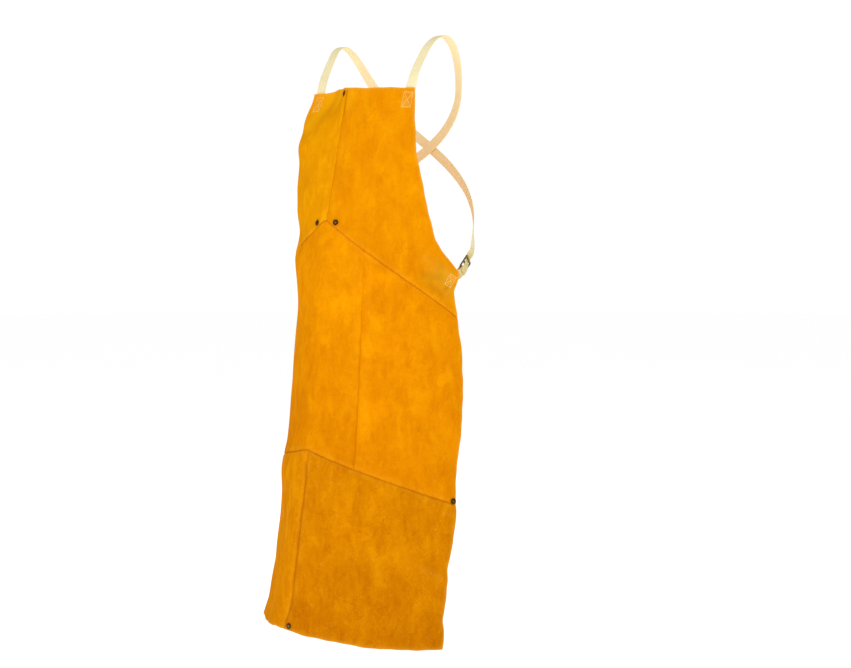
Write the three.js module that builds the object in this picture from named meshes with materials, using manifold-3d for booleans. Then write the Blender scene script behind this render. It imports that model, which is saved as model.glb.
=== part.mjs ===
// A worn bib apron of split hide: six sewn panels, two crossing webbing straps,
// two waist tabs with slide buckles, and five cap rivets.
// Millimetres, +Z up. The front faces -Y and +X is the wearer's left.
// The origin lies midway between the places where the straps rest on the shoulders.
import * as THREE from 'three';
import { mergeVertices } from 'three/addons/utils/BufferGeometryUtils.js';
import Module from 'manifold-3d';

const wasm = await Module();
wasm.setup();
const { Manifold, Mesh } = wasm;

// Material thicknesses and clearances
const HIDE = 1.6;
const WEB = 1.8;
const WEB_WIDTH = 20;
const CLEAR = 0.3;
const SEAM_GAP = 0.6;
const LAP = HIDE + SEAM_GAP;
const SEWN = HIDE + 0.8;

// The form of the hide when worn. Each row is one level: how far forward the centre line is,
// its sideways shift, how sharply the centre line is folded and how far the side edge turns back.
const LEVELS = [
  { z: -100, front: -134, shift: 0, fold: 3, edge: 67 },
  { z: -220, front: -161, shift: 0, fold: 6, edge: 71 },
  { z: -340, front: -188, shift: 0, fold: 12, edge: 75 },
  { z: -460, front: -211, shift: 0, fold: 16, edge: 79 },
  { z: -620, front: -227, shift: 0, fold: 18, edge: 78 },
  { z: -780, front: -241, shift: -4, fold: 21, edge: 73 },
  { z: -940, front: -263, shift: -10, fold: 25, edge: 63 },
  { z: -1080, front: -276, shift: -17, fold: 20, edge: 67 },
  { z: -1175, front: -282, shift: -22, fold: 15, edge: 66 },
];
const HALF_WIDTH = 305;
const FOLD_REACH = 14;
const TURN_POWER = 1.15;
const TURN_STEPS = 36;

// The bib's top is pinched back beside the centre seam on the wearer's right.
const PINCH = { at: 18, half: 18, angle: 35, full: -104, none: -168 };

// The bib's top corner on the wearer's right is drawn forward by its strap, with a hollow before it.
const FLARE = { angle: 32, from: 85, to: 118, hollow: 0.7, at: 60, half: 22, full: -112, none: -200 };

// On the wearer's right the hide stands off its even curve in places and sags between them.
const STAND = [
  { z: -100, out: -5 }, { z: -140, out: -9 }, { z: -172, out: -3 }, { z: -205, out: 6.5 },
  { z: -245, out: 0.5 }, { z: -300, out: 1.5 }, { z: -338, out: 1 }, { z: -380, out: -5 },
  { z: -432, out: 1.5 }, { z: -525, out: -7 }, { z: -600, out: -5 }, { z: -690, out: -3 },
  { z: -785, out: -1 }, { z: -842, out: 5.8 }, { z: -895, out: -0.5 }, { z: -950, out: -5.5 },
  { z: -1080, out: -6 }, { z: -1160, out: -3 },
];
const STAND_REACH = { none: 30, full: 130 };

// Pattern lines, as distance along the hide from the centre line and height
const TOP_LEFT = [[0, -98.4], [34, -100.4], [78, -101.5], [119, -102], [147, -103]];
const TOP_RIGHT = [[-148, -103], [-105, -101.6], [-92, -101], [-82, -99], [-48, -98.2], [0, -98.4]];
const PEAK = [0, -352];
const PEAK_LEFT_END = [285, -539];
const PEAK_RIGHT = [
  [-285, -532], [-240, -496], [-200, -459], [-165, -428], [-120, -404], [-77, -388.5],
  [-52, -380], [-36, -372], [-16, -357], [-6, -353], PEAK,
];
const LOW = [0, -789];
const LOW_LEFT_END = [306, -897];
const LOW_RIGHT_END = [-305, -846];
const MID_TOP = [88, -409.7];
const MID_END = [97, -823.5];
const SKIRT_SEAM = [
  LOW, [4.5, -847], [4, -919], [3.5, -1000], [1, -1070], [-1, -1091], [-9.5, -1113], [-18, -1136.7],
];
const HEM_LEFT = [
  [-18, -1136.7], [7, -1137], [30, -1142.6], [53, -1144.7], [97, -1150],
  [165, -1160], [250, -1167.5], [309.5, -1172],
];
const HEM_RIGHT = [
  [-305, -1160], [-180, -1150], [-141, -1148], [-109, -1145.6], [-52, -1138.3], [-18, -1136.7],
];
const ARMHOLE_LEFT = [
  [147, -103], [150.5, -126], [152.5, -145], [159, -187], [163, -217], [172, -247], [186, -292],
  [203.5, -345], [221, -390], [238, -411], [256.7, -430.6], [279.5, -454], [276.5, -476], [272, -489],
  [276, -510], PEAK_LEFT_END,
];
const ARMHOLE_RIGHT = [
  [-148, -103], [-151, -124], [-157, -166], [-163, -209], [-174, -254], [-190, -299], [-206, -345],
  [-222, -390], [-238, -411], [-257, -431], [-280, -454], [-277, -475], [-272, -487],
  [-277, -508], [-285, -532],
];
const SIDE_LEFT = [
  PEAK_LEFT_END, [298, -605], [305, -660], [305.5, -735], [302, -800], [302, -850], LOW_LEFT_END,
];
const SKIRT_LEFT = [
  LOW_LEFT_END, [309, -915], [308.5, -945], [305, -988], [302.5, -1012], [306.5, -1045], [305.5, -1095],
  [303, -1117], [308, -1131], [311, -1161], [309.5, -1172],
];
const SIDE_RIGHT = [[-285, -532], [-296, -597], [-303, -645], [-305, -760], [-305, -846]];

// Cap rivets: where each one sits on the hide and which two panels it joins
const RIVETS = [
  { name: 'rivet_bib_top', at: [-11, -109], seat: 0.8, over: 'bib_panel_right', under: 'bib_panel_left' },
  { name: 'rivet_peak_left', at: [22, -357], seat: 0.4, over: 'bib_panel_left', under: 'body_panel_right' },
  { name: 'rivet_peak_right', at: [-30, -358], seat: 0.5, over: 'bib_panel_right', under: 'body_panel_right' },
  { name: 'rivet_skirt_edge', at: [300, -890], seat: 0.5, over: 'body_panel_left', under: 'skirt_panel_left' },
  { name: 'rivet_hem', at: [-3, -1128.4], seat: 0.6, over: 'skirt_panel_left', under: 'skirt_panel_right' },
];
const RIVET = { cap: 5.5, dome: 2.1, shank: 2, back: 3.6, backHeight: 1.1, bore: 2.3, boreLength: 16 };

// Slide buckle: a flat frame with two slots
const BUCKLE = { width: 27, height: 30, thick: 2.6, bar: 3.8, slotWidth: 21.4, corner: 3 };
const BUCKLE_CENTRE = [194, -9, -438];
const BUCKLE_UP = [0.05, 0.7, 0.71];
const BUCKLE_FACE = [0.96, 0.08, -0.25];

// Where the waist tab is sewn behind the hide, and its narrow part along the buckle's own height
const TAB_LOW = [257, -483.5];
const TAB_HIGH = [270, -462];
const TAB_NECK = -23;
const TAB_THROAT = -18;
const TAB_STEP = 4;
const STRAP_STEP = 14;

// Shoulder straps from the bib over the shoulder to the far waist: position and outward direction
const STRAP_LEFT = [
  { at: [134.5, -87, -76], out: [0.08, -0.95, 0.3] },
  { at: [133.5, -65, -42], out: [0.08, -0.85, 0.5] },
  { at: [134, -48, -20], out: [0.05, -0.75, 0.66] },
  { at: [135, -30, -6], out: [0, -0.45, 0.9] },
  { at: [135, -6, 0.9], out: [0, 0, 1] },
  { at: [134, 18, -8], out: [0, 0.6, 0.8] },
  { at: [130, 40, -32], out: [0.1, 0.85, 0.5] },
  { at: [118, 64, -72], out: [0.2, 0.95, 0.25] },
  { at: [92, 91, -124], out: [0.25, 0.97, 0.1] },
  { at: [50, 109, -170], out: [0.1, 1, 0] },
  { at: [0, 115, -208], out: [0, 1, 0] },
  { at: [-60, 107, -248], out: [-0.2, 0.98, 0] },
  { at: [-118, 86, -292], out: [-0.5, 0.87, 0] },
  { at: [-160, 57, -336], out: [-0.75, 0.65, -0.1] },
  { at: [-186, 26, -380], out: [-0.9, 0.42, -0.2] },
];
const STRAP_RIGHT = [
  { at: [-123.5, -71, -86], out: [0.1, -0.9, 0.4] },
  { at: [-128, -55, -60], out: [0.1, -0.85, 0.5] },
  { at: [-131, -35, -31], out: [0, -0.8, 0.6] },
  { at: [-135, -16, -11.5], out: [0, -0.5, 0.85] },
  { at: [-136, 2, -4], out: [0, 0, 1] },
  { at: [-135, 22, -10.5], out: [0, 0.6, 0.8] },
  { at: [-131, 45, -33], out: [-0.1, 0.85, 0.5] },
  { at: [-118, 67, -72], out: [-0.2, 0.95, 0.25] },
  { at: [-92, 94, -124], out: [-0.25, 0.97, 0.1] },
  { at: [-50, 112.5, -170], out: [-0.1, 1, 0] },
  { at: [0, 119, -208], out: [0, 1, 0] },
  { at: [60, 109, -248], out: [0.2, 0.98, 0] },
  { at: [118, 86, -292], out: [0.5, 0.87, 0] },
  { at: [160, 57, -336], out: [0.75, 0.65, -0.1] },
  { at: [186, 26, -380], out: [0.9, 0.42, -0.2] },
];
// The strap's sewn end behind the bib: shift from its place across the hide, height and extra depth
const STRAP_SEWN = [
  { shift: -1, z: -150, deeper: 0.6 }, { shift: 0, z: -132, deeper: 0 }, { shift: 2, z: -114, deeper: 0 },
];
const STRAP_PLACE = { left: 137.5, right: 132 };
// The strap's way through the buckle: along the buckle and out from its middle plane
const STRAP_THREAD = [
  { up: 32, out: -3.4 }, { up: 20, out: -3.4 }, { up: 13.4, out: -3.15 }, { up: 11.2, out: -2.7 },
  { up: 1.9, out: 2.7 }, { up: -0.5, out: 3.2 }, { up: -6, out: 4.4 }, { up: -10, out: 5 },
  { up: -19, out: 5.3 },
];

const rad = THREE.MathUtils.degToRad;
const lerp = THREE.MathUtils.lerp;
const smoothstep = THREE.MathUtils.smoothstep;
const vec = (a) => new THREE.Vector3(...a);

// Smooth value of one column of a table of levels at height z
function level(column, z, table = LEVELS) {
  const last = table.length - 1;
  let i = 0;
  while (i < last - 1 && z < table[i + 1].z) i += 1;
  const a = table[i];
  const b = table[i + 1];
  const chord = (p, q) => (q[column] - p[column]) / (q.z - p.z);
  const slope = (k) => {
    if (k === 0) return chord(table[0], table[1]);
    if (k === last) return chord(table[last - 1], table[last]);
    return chord(table[k - 1], table[k + 1]);
  };
  const span = b.z - a.z;
  const f = THREE.MathUtils.clamp((z - a.z) / span, -0.2, 1.2);
  const f2 = f * f;
  const f3 = f2 * f;
  return (2 * f3 - 3 * f2 + 1) * a[column] + (f3 - 2 * f2 + f) * span * slope(i)
    + (3 * f2 - 2 * f3) * b[column] + (f3 - f2) * span * slope(i + 1);
}

// Point on the outer face of the hide at pattern position (s, z)
function face(s, z) {
  const fold = rad(level('fold', z));
  const edge = rad(level('edge', z));
  const reach = Math.abs(s);
  const side = Math.sign(s);
  const right = side < 0 ? 1 : 0;
  const pinch = right * rad(PINCH.angle) * smoothstep(z, PINCH.none, PINCH.full);
  const flare = right * rad(FLARE.angle) * smoothstep(z, FLARE.none, FLARE.full);
  const stand = right * level('out', z, STAND) * smoothstep(reach, STAND_REACH.none, STAND_REACH.full);
  const turn = (a) => {
    const hollow = FLARE.hollow * Math.exp(-(((a - FLARE.at) / FLARE.half) ** 2));
    return fold * (1 - Math.exp(-a / FOLD_REACH)) + (edge - fold) * (a / HALF_WIDTH) ** TURN_POWER
      + pinch * Math.exp(-(((a - PINCH.at) / PINCH.half) ** 4))
      + flare * (hollow - smoothstep(a, FLARE.from, FLARE.to));
  };
  let x = Math.sin(turn(reach)) * stand;
  let y = -Math.cos(turn(reach)) * stand;
  for (let k = 0; k < TURN_STEPS; k += 1) {
    const t = turn((reach * (k + 0.5)) / TURN_STEPS);
    x += (Math.cos(t) * reach) / TURN_STEPS;
    y += (Math.sin(t) * reach) / TURN_STEPS;
  }
  return new THREE.Vector3(level('shift', z) + side * x, level('front', z) + y, z);
}

function outward(s, z) {
  const across = face(s + 1, z).sub(face(s - 1, z));
  const up = face(s, z + 1).sub(face(s, z - 1));
  return across.cross(up).normalize();
}

// Point at a depth behind the outer face
const behind = (s, z, depth) => face(s, z).addScaledVector(outward(s, z), -depth);

// Closed mesh from a list of corner points and triangles
function closed(points, triangles) {
  return new THREE.BufferGeometry().setFromPoints(points).setIndex(triangles.flat());
}

// Solid of a closed mesh, from its corners alone
function solid(geometry) {
  const bare = geometry.clone();
  bare.deleteAttribute('normal');
  bare.deleteAttribute('uv');
  const merged = mergeVertices(bare);
  const vertProperties = merged.attributes.position.array;
  const triVerts = new Uint32Array(merged.index.array);
  return new Manifold(new Mesh({ numProp: 3, vertProperties, triVerts }));
}

// Mesh with a hole cut through it
function pierced(geometry, hole) {
  const { numProp, vertProperties, triVerts } = solid(geometry).subtract(solid(hole)).getMesh();
  const made = new THREE.BufferGeometry();
  made.setAttribute('position', new THREE.BufferAttribute(vertProperties, numProp));
  return made.setIndex([...triVerts]);
}

// Point on a pattern line by its share of the way, measured along s (axis 0) or z (axis 1)
function along(line, axis, share) {
  const last = line.length - 1;
  const goal = lerp(line[0][axis], line[last][axis], share);
  const sense = Math.sign(line[last][axis] - line[0][axis]);
  let i = 0;
  while (i < last - 1 && (goal - line[i + 1][axis]) * sense > 0) i += 1;
  const f = (goal - line[i][axis]) / (line[i + 1][axis] - line[i][axis]);
  return [lerp(line[i][0], line[i + 1][0], f), lerp(line[i][1], line[i + 1][1], f)];
}

// Grid lines between two edges: named lines near each edge, and shares between them
const line = (inset, depth = 0) => ({ inset, depth });
const CUT = [line(0)];
const TUCKED = [line(-16, LAP), line(0.6, LAP), line(4.5)];
const TUCKED_SIDE = [line(-18, LAP), line(-12, LAP), line(-6, LAP), line(0.6, LAP), line(4.5)];
const LAPPED = [line(0), line(17.5), line(26)];
const PANEL_HEIGHT = 400;
function gridLines(before, shares, after) {
  const past = ({ inset }, side) => (inset < 0 ? side : 0);
  const first = before.map((l) => ({ ...l, past: past(l, -1), share: (h) => l.inset / h }));
  const last = after.map((l) => ({ ...l, past: past(l, 1), share: (h) => 1 - l.inset / h })).reverse();
  const from = first[first.length - 1];
  const to = last[0];
  const inner = shares.map((f) => ({ depth: 0, share: (h) => lerp(from.share(h), to.share(h), f) }));
  return [...first, ...inner, ...last];
}
const even = (count) => Array.from({ length: count - 1 }, (_, k) => (k + 1) / count);
const nearStart = (count) => even(count).map((f) => f ** 1.35);
const nearEnd = (count) => even(count).map((f) => 1 - (1 - f) ** 1.35);
// Rows of a bib panel, with one at the tip of the waist corner and some just below it
const earRows = (tip, ...below) => [...even(8).map((f) => f * tip), tip, ...below];

// One hide panel. Its four pattern lines bound what shows. Tucked edges run on behind the neighbour.
function panel({ top, bottom, left, right, columns, rows, tuckTop, tuckSide }) {
  const corner = { tl: top[0], tr: top[top.length - 1], bl: bottom[0], br: bottom[bottom.length - 1] };
  const spot = (u, v) => {
    const t = along(top, 0, u);
    const b = along(bottom, 0, u);
    const l = along(left, 1, v);
    const r = along(right, 1, v);
    return [0, 1].map((k) => (1 - v) * t[k] + v * b[k] + (1 - u) * l[k] + u * r[k]
      - (1 - u) * (1 - v) * corner.tl[k] - u * (1 - v) * corner.tr[k]
      - (1 - u) * v * corner.bl[k] - u * v * corner.br[k]);
  };
  const gap = (p, q) => Math.hypot(p[0] - q[0], p[1] - q[1]);
  const pattern = (i, j) => {
    const vNear = THREE.MathUtils.clamp(rows[j].share(PANEL_HEIGHT), 0, 1);
    const u = columns[i].share(gap(spot(0, vNear), spot(1, vNear)));
    const uNear = THREE.MathUtils.clamp(u, 0, 1);
    const v = rows[j].share(gap(spot(uNear, 0), spot(uNear, 1)));
    return spot(u, v);
  };
  const wide = columns.length - 1;
  const tall = rows.length - 1;
  const filled = (i, j) => {
    if (i < 0 || j < 0 || i >= wide || j >= tall) return false;
    const inTop = rows[j].past < 0;
    const inSide = columns[i].past < 0 || columns[i + 1].past > 0;
    if (inTop && inSide) return false;
    if (inTop) return i >= tuckTop[0] && i < wide - tuckTop[1];
    if (inSide) return j >= tuckSide[0] && j < tall - tuckSide[1];
    return true;
  };
  const points = [];
  const triangles = [];
  const index = new Map();
  const corners = (i, j) => {
    const key = i * 1000 + j;
    if (!index.has(key)) {
      const [s, z] = pattern(i, j);
      const besideTuck = tuckSide && j >= tuckSide[0] && j <= tall - tuckSide[1];
      const depth = Math.max(besideTuck ? columns[i].depth : 0, rows[j].depth);
      index.set(key, points.length);
      points.push(behind(s, z, depth), behind(s, z, depth + HIDE));
    }
    return index.get(key);
  };
  const wall = (a, b) => triangles.push([a, b, b + 1], [a, b + 1, a + 1]);
  for (let i = 0; i < wide; i += 1) {
    for (let j = 0; j < tall; j += 1) {
      if (!filled(i, j)) continue;
      const a = corners(i, j);
      const b = corners(i + 1, j);
      const c = corners(i + 1, j + 1);
      const d = corners(i, j + 1);
      triangles.push([a, d, c], [a, c, b], [a + 1, c + 1, d + 1], [a + 1, b + 1, c + 1]);
      if (!filled(i, j - 1)) wall(a, b);
      if (!filled(i + 1, j)) wall(b, c);
      if (!filled(i, j + 1)) wall(c, d);
      if (!filled(i - 1, j)) wall(d, a);
    }
  }
  return closed(points, triangles);
}

// Flat webbing along a chain of stations, each with a position and an outward direction
function ribbon(chain) {
  const points = [];
  const triangles = [];
  const end = chain.length - 1;
  chain.forEach((station, i) => {
    const back = chain[Math.max(i - 1, 0)].at;
    const ahead = chain[Math.min(i + 1, end)].at;
    const run = ahead.clone().sub(back).normalize();
    const across = run.clone().cross(station.out).normalize().multiplyScalar(WEB_WIDTH / 2);
    const out = across.clone().cross(run).normalize().multiplyScalar(WEB / 2);
    points.push(
      station.at.clone().add(across).add(out),
      station.at.clone().sub(across).add(out),
      station.at.clone().sub(across).sub(out),
      station.at.clone().add(across).sub(out),
    );
    if (i === 0) return;
    const a = 4 * (i - 1);
    const b = 4 * i;
    for (let k = 0; k < 4; k += 1) {
      const n = (k + 1) % 4;
      triangles.push([a + k, b + n, a + n], [a + k, b + k, b + n]);
    }
  });
  const e = 4 * end;
  triangles.push([0, 1, 2], [0, 2, 3], [e, e + 2, e + 1], [e, e + 3, e + 2]);
  return closed(points, triangles);
}

// Smooth chain through the stations, with a step of about the given length
function smooth(stations, step) {
  const curve = new THREE.CatmullRomCurve3(stations.map((s) => s.at), false, 'centripetal');
  const chain = [];
  const spans = stations.length - 1;
  for (let i = 0; i < spans; i += 1) {
    const parts = Math.max(1, Math.round(stations[i].at.distanceTo(stations[i + 1].at) / step));
    for (let k = 0; k < parts; k += 1) {
      const f = k / parts;
      const out = stations[i].out.clone().lerp(stations[i + 1].out, f);
      chain.push({ at: curve.getPoint((i + f) / spans), out });
    }
  }
  chain.push(stations[spans]);
  return chain;
}

// Frame of a waist buckle. The side is 1 on the wearer's left and -1 on the right.
function buckleFrame(side) {
  const mirror = new THREE.Vector3(side, 1, 1);
  const centre = vec(BUCKLE_CENTRE).multiply(mirror);
  const up = vec(BUCKLE_UP).multiply(mirror).normalize();
  const out = vec(BUCKLE_FACE).multiply(mirror);
  out.addScaledVector(up, -out.dot(up)).normalize();
  const at = (rise, depth) => centre.clone().addScaledVector(up, rise).addScaledVector(out, depth);
  return { centre, up, out, at };
}

function buckle(side) {
  const { centre, up, out } = buckleFrame(side);
  const { width, height, thick, bar, slotWidth, corner } = BUCKLE;
  const x = width / 2 - corner;
  const y = height / 2 - corner;
  const quarter = Math.PI / 2;
  const outline = new THREE.Shape();
  outline.absarc(x, y, corner, 0, quarter);
  outline.absarc(-x, y, corner, quarter, 2 * quarter);
  outline.absarc(-x, -y, corner, 2 * quarter, 3 * quarter);
  outline.absarc(x, -y, corner, 3 * quarter, 4 * quarter);
  const slotHeight = (height - 3 * bar) / 2;
  const lift = (slotHeight + bar) / 2;
  for (const rise of [lift, -lift]) {
    const corners = [[-1, -1], [-1, 1], [1, 1], [1, -1]];
    const slot = corners.map(([a, b]) => new THREE.Vector2((a * slotWidth) / 2, rise + (b * slotHeight) / 2));
    outline.holes.push(new THREE.Path(slot));
  }
  const flat = new THREE.ExtrudeGeometry(outline, { depth: thick, bevelEnabled: false, curveSegments: 3 });
  const place = new THREE.Matrix4().makeBasis(up.clone().cross(out), up, out).setPosition(centre);
  return flat.translate(0, 0, -thick / 2).applyMatrix4(place);
}

// Webbing loop sewn behind the waist corner and round the buckle's lower bar
function waistTab(side) {
  const { up, out, at } = buckleFrame(side);
  const half = BUCKLE.thick / 2;
  const bend = CLEAR + WEB / 2;
  const turn = half + bend;
  const sewn = ([s, z], more) => ({
    at: behind(side * s, z, SEWN + WEB + CLEAR / 2 + more),
    out: outward(side * s, z),
  });
  const neck = { at: at(TAB_NECK, 0), out: out.clone() };
  const throat = { at: at(TAB_THROAT, 0), out: out.clone() };
  const leg = smooth([sewn(TAB_LOW, 0), sewn(TAB_HIGH, 1.3), neck, throat], TAB_STEP);
  const layer = (station, i, sense) => {
    const spread = lerp((WEB + CLEAR) / 2, turn, smoothstep(i, leg.length - 7, leg.length - 1));
    const away = station.out.clone().multiplyScalar(sense);
    return { at: station.at.clone().addScaledVector(away, spread), out: away };
  };
  const outer = leg.map((station, i) => layer(station, i, 1));
  const inner = leg.map((station, i) => layer(station, i, -1));
  const barTop = -BUCKLE.height / 2 + BUCKLE.bar;
  const diagonal = bend * Math.SQRT1_2;
  const round = [
    { at: at(barTop, turn), out: out.clone() },
    { at: at(barTop + diagonal, half + diagonal), out: out.clone().add(up) },
    { at: at(barTop + bend, half), out: up.clone() },
    { at: at(barTop + bend, -half), out: up.clone() },
    { at: at(barTop + diagonal, -half - diagonal), out: up.clone().sub(out) },
    { at: at(barTop, -turn), out: out.clone().negate() },
  ];
  return ribbon([...outer, ...round, ...inner.reverse()]);
}

// Shoulder strap: sewn behind the bib's top corner, then over the shoulder to the far buckle
function strap(side, place, stations) {
  const deep = SEWN + WEB / 2;
  const sewn = STRAP_SEWN.map(({ shift, z, deeper }) => ({
    at: behind(side * (place + shift), z, deep + deeper),
    out: outward(side * (place + shift), z),
  }));
  const free = stations.map(({ at, out }) => ({ at: vec(at), out: vec(out) }));
  const far = buckleFrame(-side);
  const thread = STRAP_THREAD.map(({ up, out }) => ({ at: far.at(up, out), out: far.out.clone() }));
  const chain = smooth([...sewn, ...free, ...thread.slice(0, 2)], STRAP_STEP);
  return ribbon([...chain, ...thread.slice(2)]);
}

// Rivet: domed cap in front, shank through both hides, flat cap behind
function rivetPlace({ at }) {
  const axis = outward(...at);
  const across = new THREE.Vector3(0, 0, 1).cross(axis).normalize();
  const up = axis.clone().cross(across);
  return new THREE.Matrix4().makeBasis(across, up, axis).setPosition(face(...at));
}

function rivet(spec) {
  const { cap, dome, shank, back, backHeight } = RIVET;
  const { seat } = spec;
  const under = -(LAP + HIDE + seat);
  const low = under - backHeight;
  const profile = [
    [0, low], [back - 0.3, low], [back, low + 0.4], [back, under], [shank, under], [shank, seat], [cap, seat],
    [cap, seat + 0.6], [cap - 0.8, seat + 1.3], [cap - 2.4, seat + dome - 0.2], [0, seat + dome],
  ];
  const turned = new THREE.LatheGeometry(profile.map(([r, h]) => new THREE.Vector2(r, h)), 20);
  return turned.rotateX(Math.PI / 2).applyMatrix4(rivetPlace(spec));
}

function bore(spec) {
  const drill = new THREE.CylinderGeometry(RIVET.bore, RIVET.bore, RIVET.boreLength, 14);
  return drill.rotateX(Math.PI / 2).applyMatrix4(rivetPlace(spec));
}

const seamPeakLeft = [PEAK, PEAK_LEFT_END];
const seamLowLeft = [LOW, LOW_LEFT_END];
const seamLowRight = [LOW_RIGHT_END, LOW];
const ridge = PEAK_RIGHT[0][0] / (PEAK_RIGHT[0][0] - MID_TOP[0]);

const panels = {
  bib_panel_left: panel({
    top: TOP_LEFT,
    bottom: seamPeakLeft,
    left: [TOP_LEFT[0], PEAK],
    right: ARMHOLE_LEFT,
    columns: gridLines(TUCKED_SIDE, nearStart(15), CUT),
    rows: gridLines([line(0), line(2.5)], earRows(0.853, 0.894, 0.938), LAPPED),
    tuckSide: [1, 2],
  }),
  bib_panel_right: panel({
    top: TOP_RIGHT,
    bottom: PEAK_RIGHT,
    left: ARMHOLE_RIGHT,
    right: [TOP_RIGHT[TOP_RIGHT.length - 1], PEAK],
    columns: gridLines(CUT, nearEnd(16), CUT),
    rows: gridLines(CUT, earRows(0.818, 0.867, 0.897, 0.944), CUT),
  }),
  body_panel_left: panel({
    top: [MID_TOP, PEAK_LEFT_END],
    bottom: [MID_END, LOW_LEFT_END],
    left: [MID_TOP, MID_END],
    right: SIDE_LEFT,
    columns: gridLines(TUCKED_SIDE, even(9), [line(0), line(6)]),
    rows: gridLines([...TUCKED, line(12)], even(9), LAPPED),
    tuckTop: [4, 1],
    tuckSide: [3, 2],
  }),
  body_panel_right: panel({
    top: [...PEAK_RIGHT, MID_TOP],
    bottom: [LOW_RIGHT_END, LOW, MID_END],
    left: SIDE_RIGHT,
    right: [MID_TOP, MID_END],
    columns: gridLines([line(0), line(6)], [
      ...nearEnd(13).map((f) => f * ridge), ridge, ...nearStart(5).map((f) => ridge + f * (1 - ridge)),
    ], [line(0), line(6)]),
    rows: gridLines(TUCKED, even(10), LAPPED),
    tuckTop: [1, 1],
  }),
  skirt_panel_left: panel({
    top: seamLowLeft,
    bottom: HEM_LEFT,
    left: SKIRT_SEAM,
    right: SKIRT_LEFT,
    columns: gridLines([line(0), line(6)], nearStart(15), [line(0), line(1.5)]),
    rows: gridLines(TUCKED, even(9), CUT),
    tuckTop: [1, 1],
  }),
  skirt_panel_right: panel({
    top: seamLowRight,
    bottom: HEM_RIGHT,
    left: [LOW_RIGHT_END, HEM_RIGHT[0]],
    right: SKIRT_SEAM,
    columns: gridLines([line(0), line(6)], nearEnd(14), TUCKED_SIDE),
    rows: gridLines([...TUCKED, line(22)], even(8), [line(0), line(2.5)]),
    tuckTop: [1, 4],
    tuckSide: [3, 1],
  }),
};
for (const spec of RIVETS) {
  for (const name of [spec.over, spec.under]) panels[name] = pierced(panels[name], bore(spec));
}

const hideBib = new THREE.MeshStandardMaterial({ name: 'split_hide', color: 0xf09a0c, roughness: 0.9 });
const hideSkirt = new THREE.MeshStandardMaterial({
  name: 'split_hide_brown', color: 0xdc880a, roughness: 0.9,
});
const webbing = new THREE.MeshStandardMaterial({ name: 'cream_webbing', color: 0xf5e3b0, roughness: 0.85 });
const brass = new THREE.MeshStandardMaterial({
  name: 'antique_brass', color: 0x6b5a32, roughness: 0.45, metalness: 0.9,
});

const apron = new THREE.Group();
apron.name = 'bib_apron';

function add(name, geometry, material) {
  geometry.computeVertexNormals();
  const mesh = new THREE.Mesh(geometry, material);
  mesh.name = name;
  apron.add(mesh);
}

for (const [name, shape] of Object.entries(panels)) {
  add(name, shape, name.startsWith('skirt') ? hideSkirt : hideBib);
}
add('strap_left', strap(1, STRAP_PLACE.left, STRAP_LEFT), webbing);
add('strap_right', strap(-1, STRAP_PLACE.right, STRAP_RIGHT), webbing);
add('waist_tab_left', waistTab(1), webbing);
add('waist_tab_right', waistTab(-1), webbing);
add('buckle_left', buckle(1), brass);
add('buckle_right', buckle(-1), brass);
for (const spec of RIVETS) add(spec.name, rivet(spec), brass);

export default apron;
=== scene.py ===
# The looks of a worn bib apron of split hide: six sewn panels with suede nap and lapped seams,
# woven straps and waist tabs, slide buckles, cap rivets and boxed stitching.
# Tables are in millimetres, +Z up, front towards -Y and left towards +X. Meshes are in metres.
import math
from collections import namedtuple
from types import SimpleNamespace as Sizes

import bpy
import numpy as np
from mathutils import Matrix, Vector


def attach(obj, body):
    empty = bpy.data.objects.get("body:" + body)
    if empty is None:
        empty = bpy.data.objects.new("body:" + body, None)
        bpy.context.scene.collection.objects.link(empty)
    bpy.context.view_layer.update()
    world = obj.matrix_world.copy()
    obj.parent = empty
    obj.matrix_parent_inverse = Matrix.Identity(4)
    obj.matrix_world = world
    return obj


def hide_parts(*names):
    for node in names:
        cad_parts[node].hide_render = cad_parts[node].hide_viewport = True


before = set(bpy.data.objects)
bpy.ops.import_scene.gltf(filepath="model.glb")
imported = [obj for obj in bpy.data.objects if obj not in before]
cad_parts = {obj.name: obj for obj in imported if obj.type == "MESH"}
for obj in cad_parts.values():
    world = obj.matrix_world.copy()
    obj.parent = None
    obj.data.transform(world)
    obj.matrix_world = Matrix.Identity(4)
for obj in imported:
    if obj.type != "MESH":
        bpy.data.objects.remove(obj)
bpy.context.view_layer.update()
MM = 0.001

# Camera at the photograph's viewing angle, for an image of 851 by 668
camera_data = bpy.data.cameras.new("camera")
camera_data.sensor_fit = "HORIZONTAL"
camera_data.sensor_width = 36
camera_data.lens = 67.947
camera = bpy.data.objects.new("camera", camera_data)
camera.location = (2.1228, -2.4265, -0.3239)
camera.rotation_euler = (math.radians(85.408), 0, math.radians(40))
bpy.context.collection.objects.link(camera)
bpy.context.scene.camera = camera


def named(columns, rows):
    """A table's rows with their columns named."""
    make = namedtuple("Row", columns)
    if isinstance(rows, dict):
        return {key: make(*row) for key, row in rows.items()}
    return [make(*row) for row in rows]


def arrays(columns, rows):
    """A table's columns as named arrays."""
    return namedtuple("Columns", columns)(*np.array(rows, float).T)


# Thicknesses, the webbing's width, and how deep a lapped hide and a sewn strap lie
HIDE = 1.6
WEB = 1.8
WEB_WIDTH = 20
CLEAR = 0.3
LAP = HIDE + 0.6
SEWN = HIDE + 0.8

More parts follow.
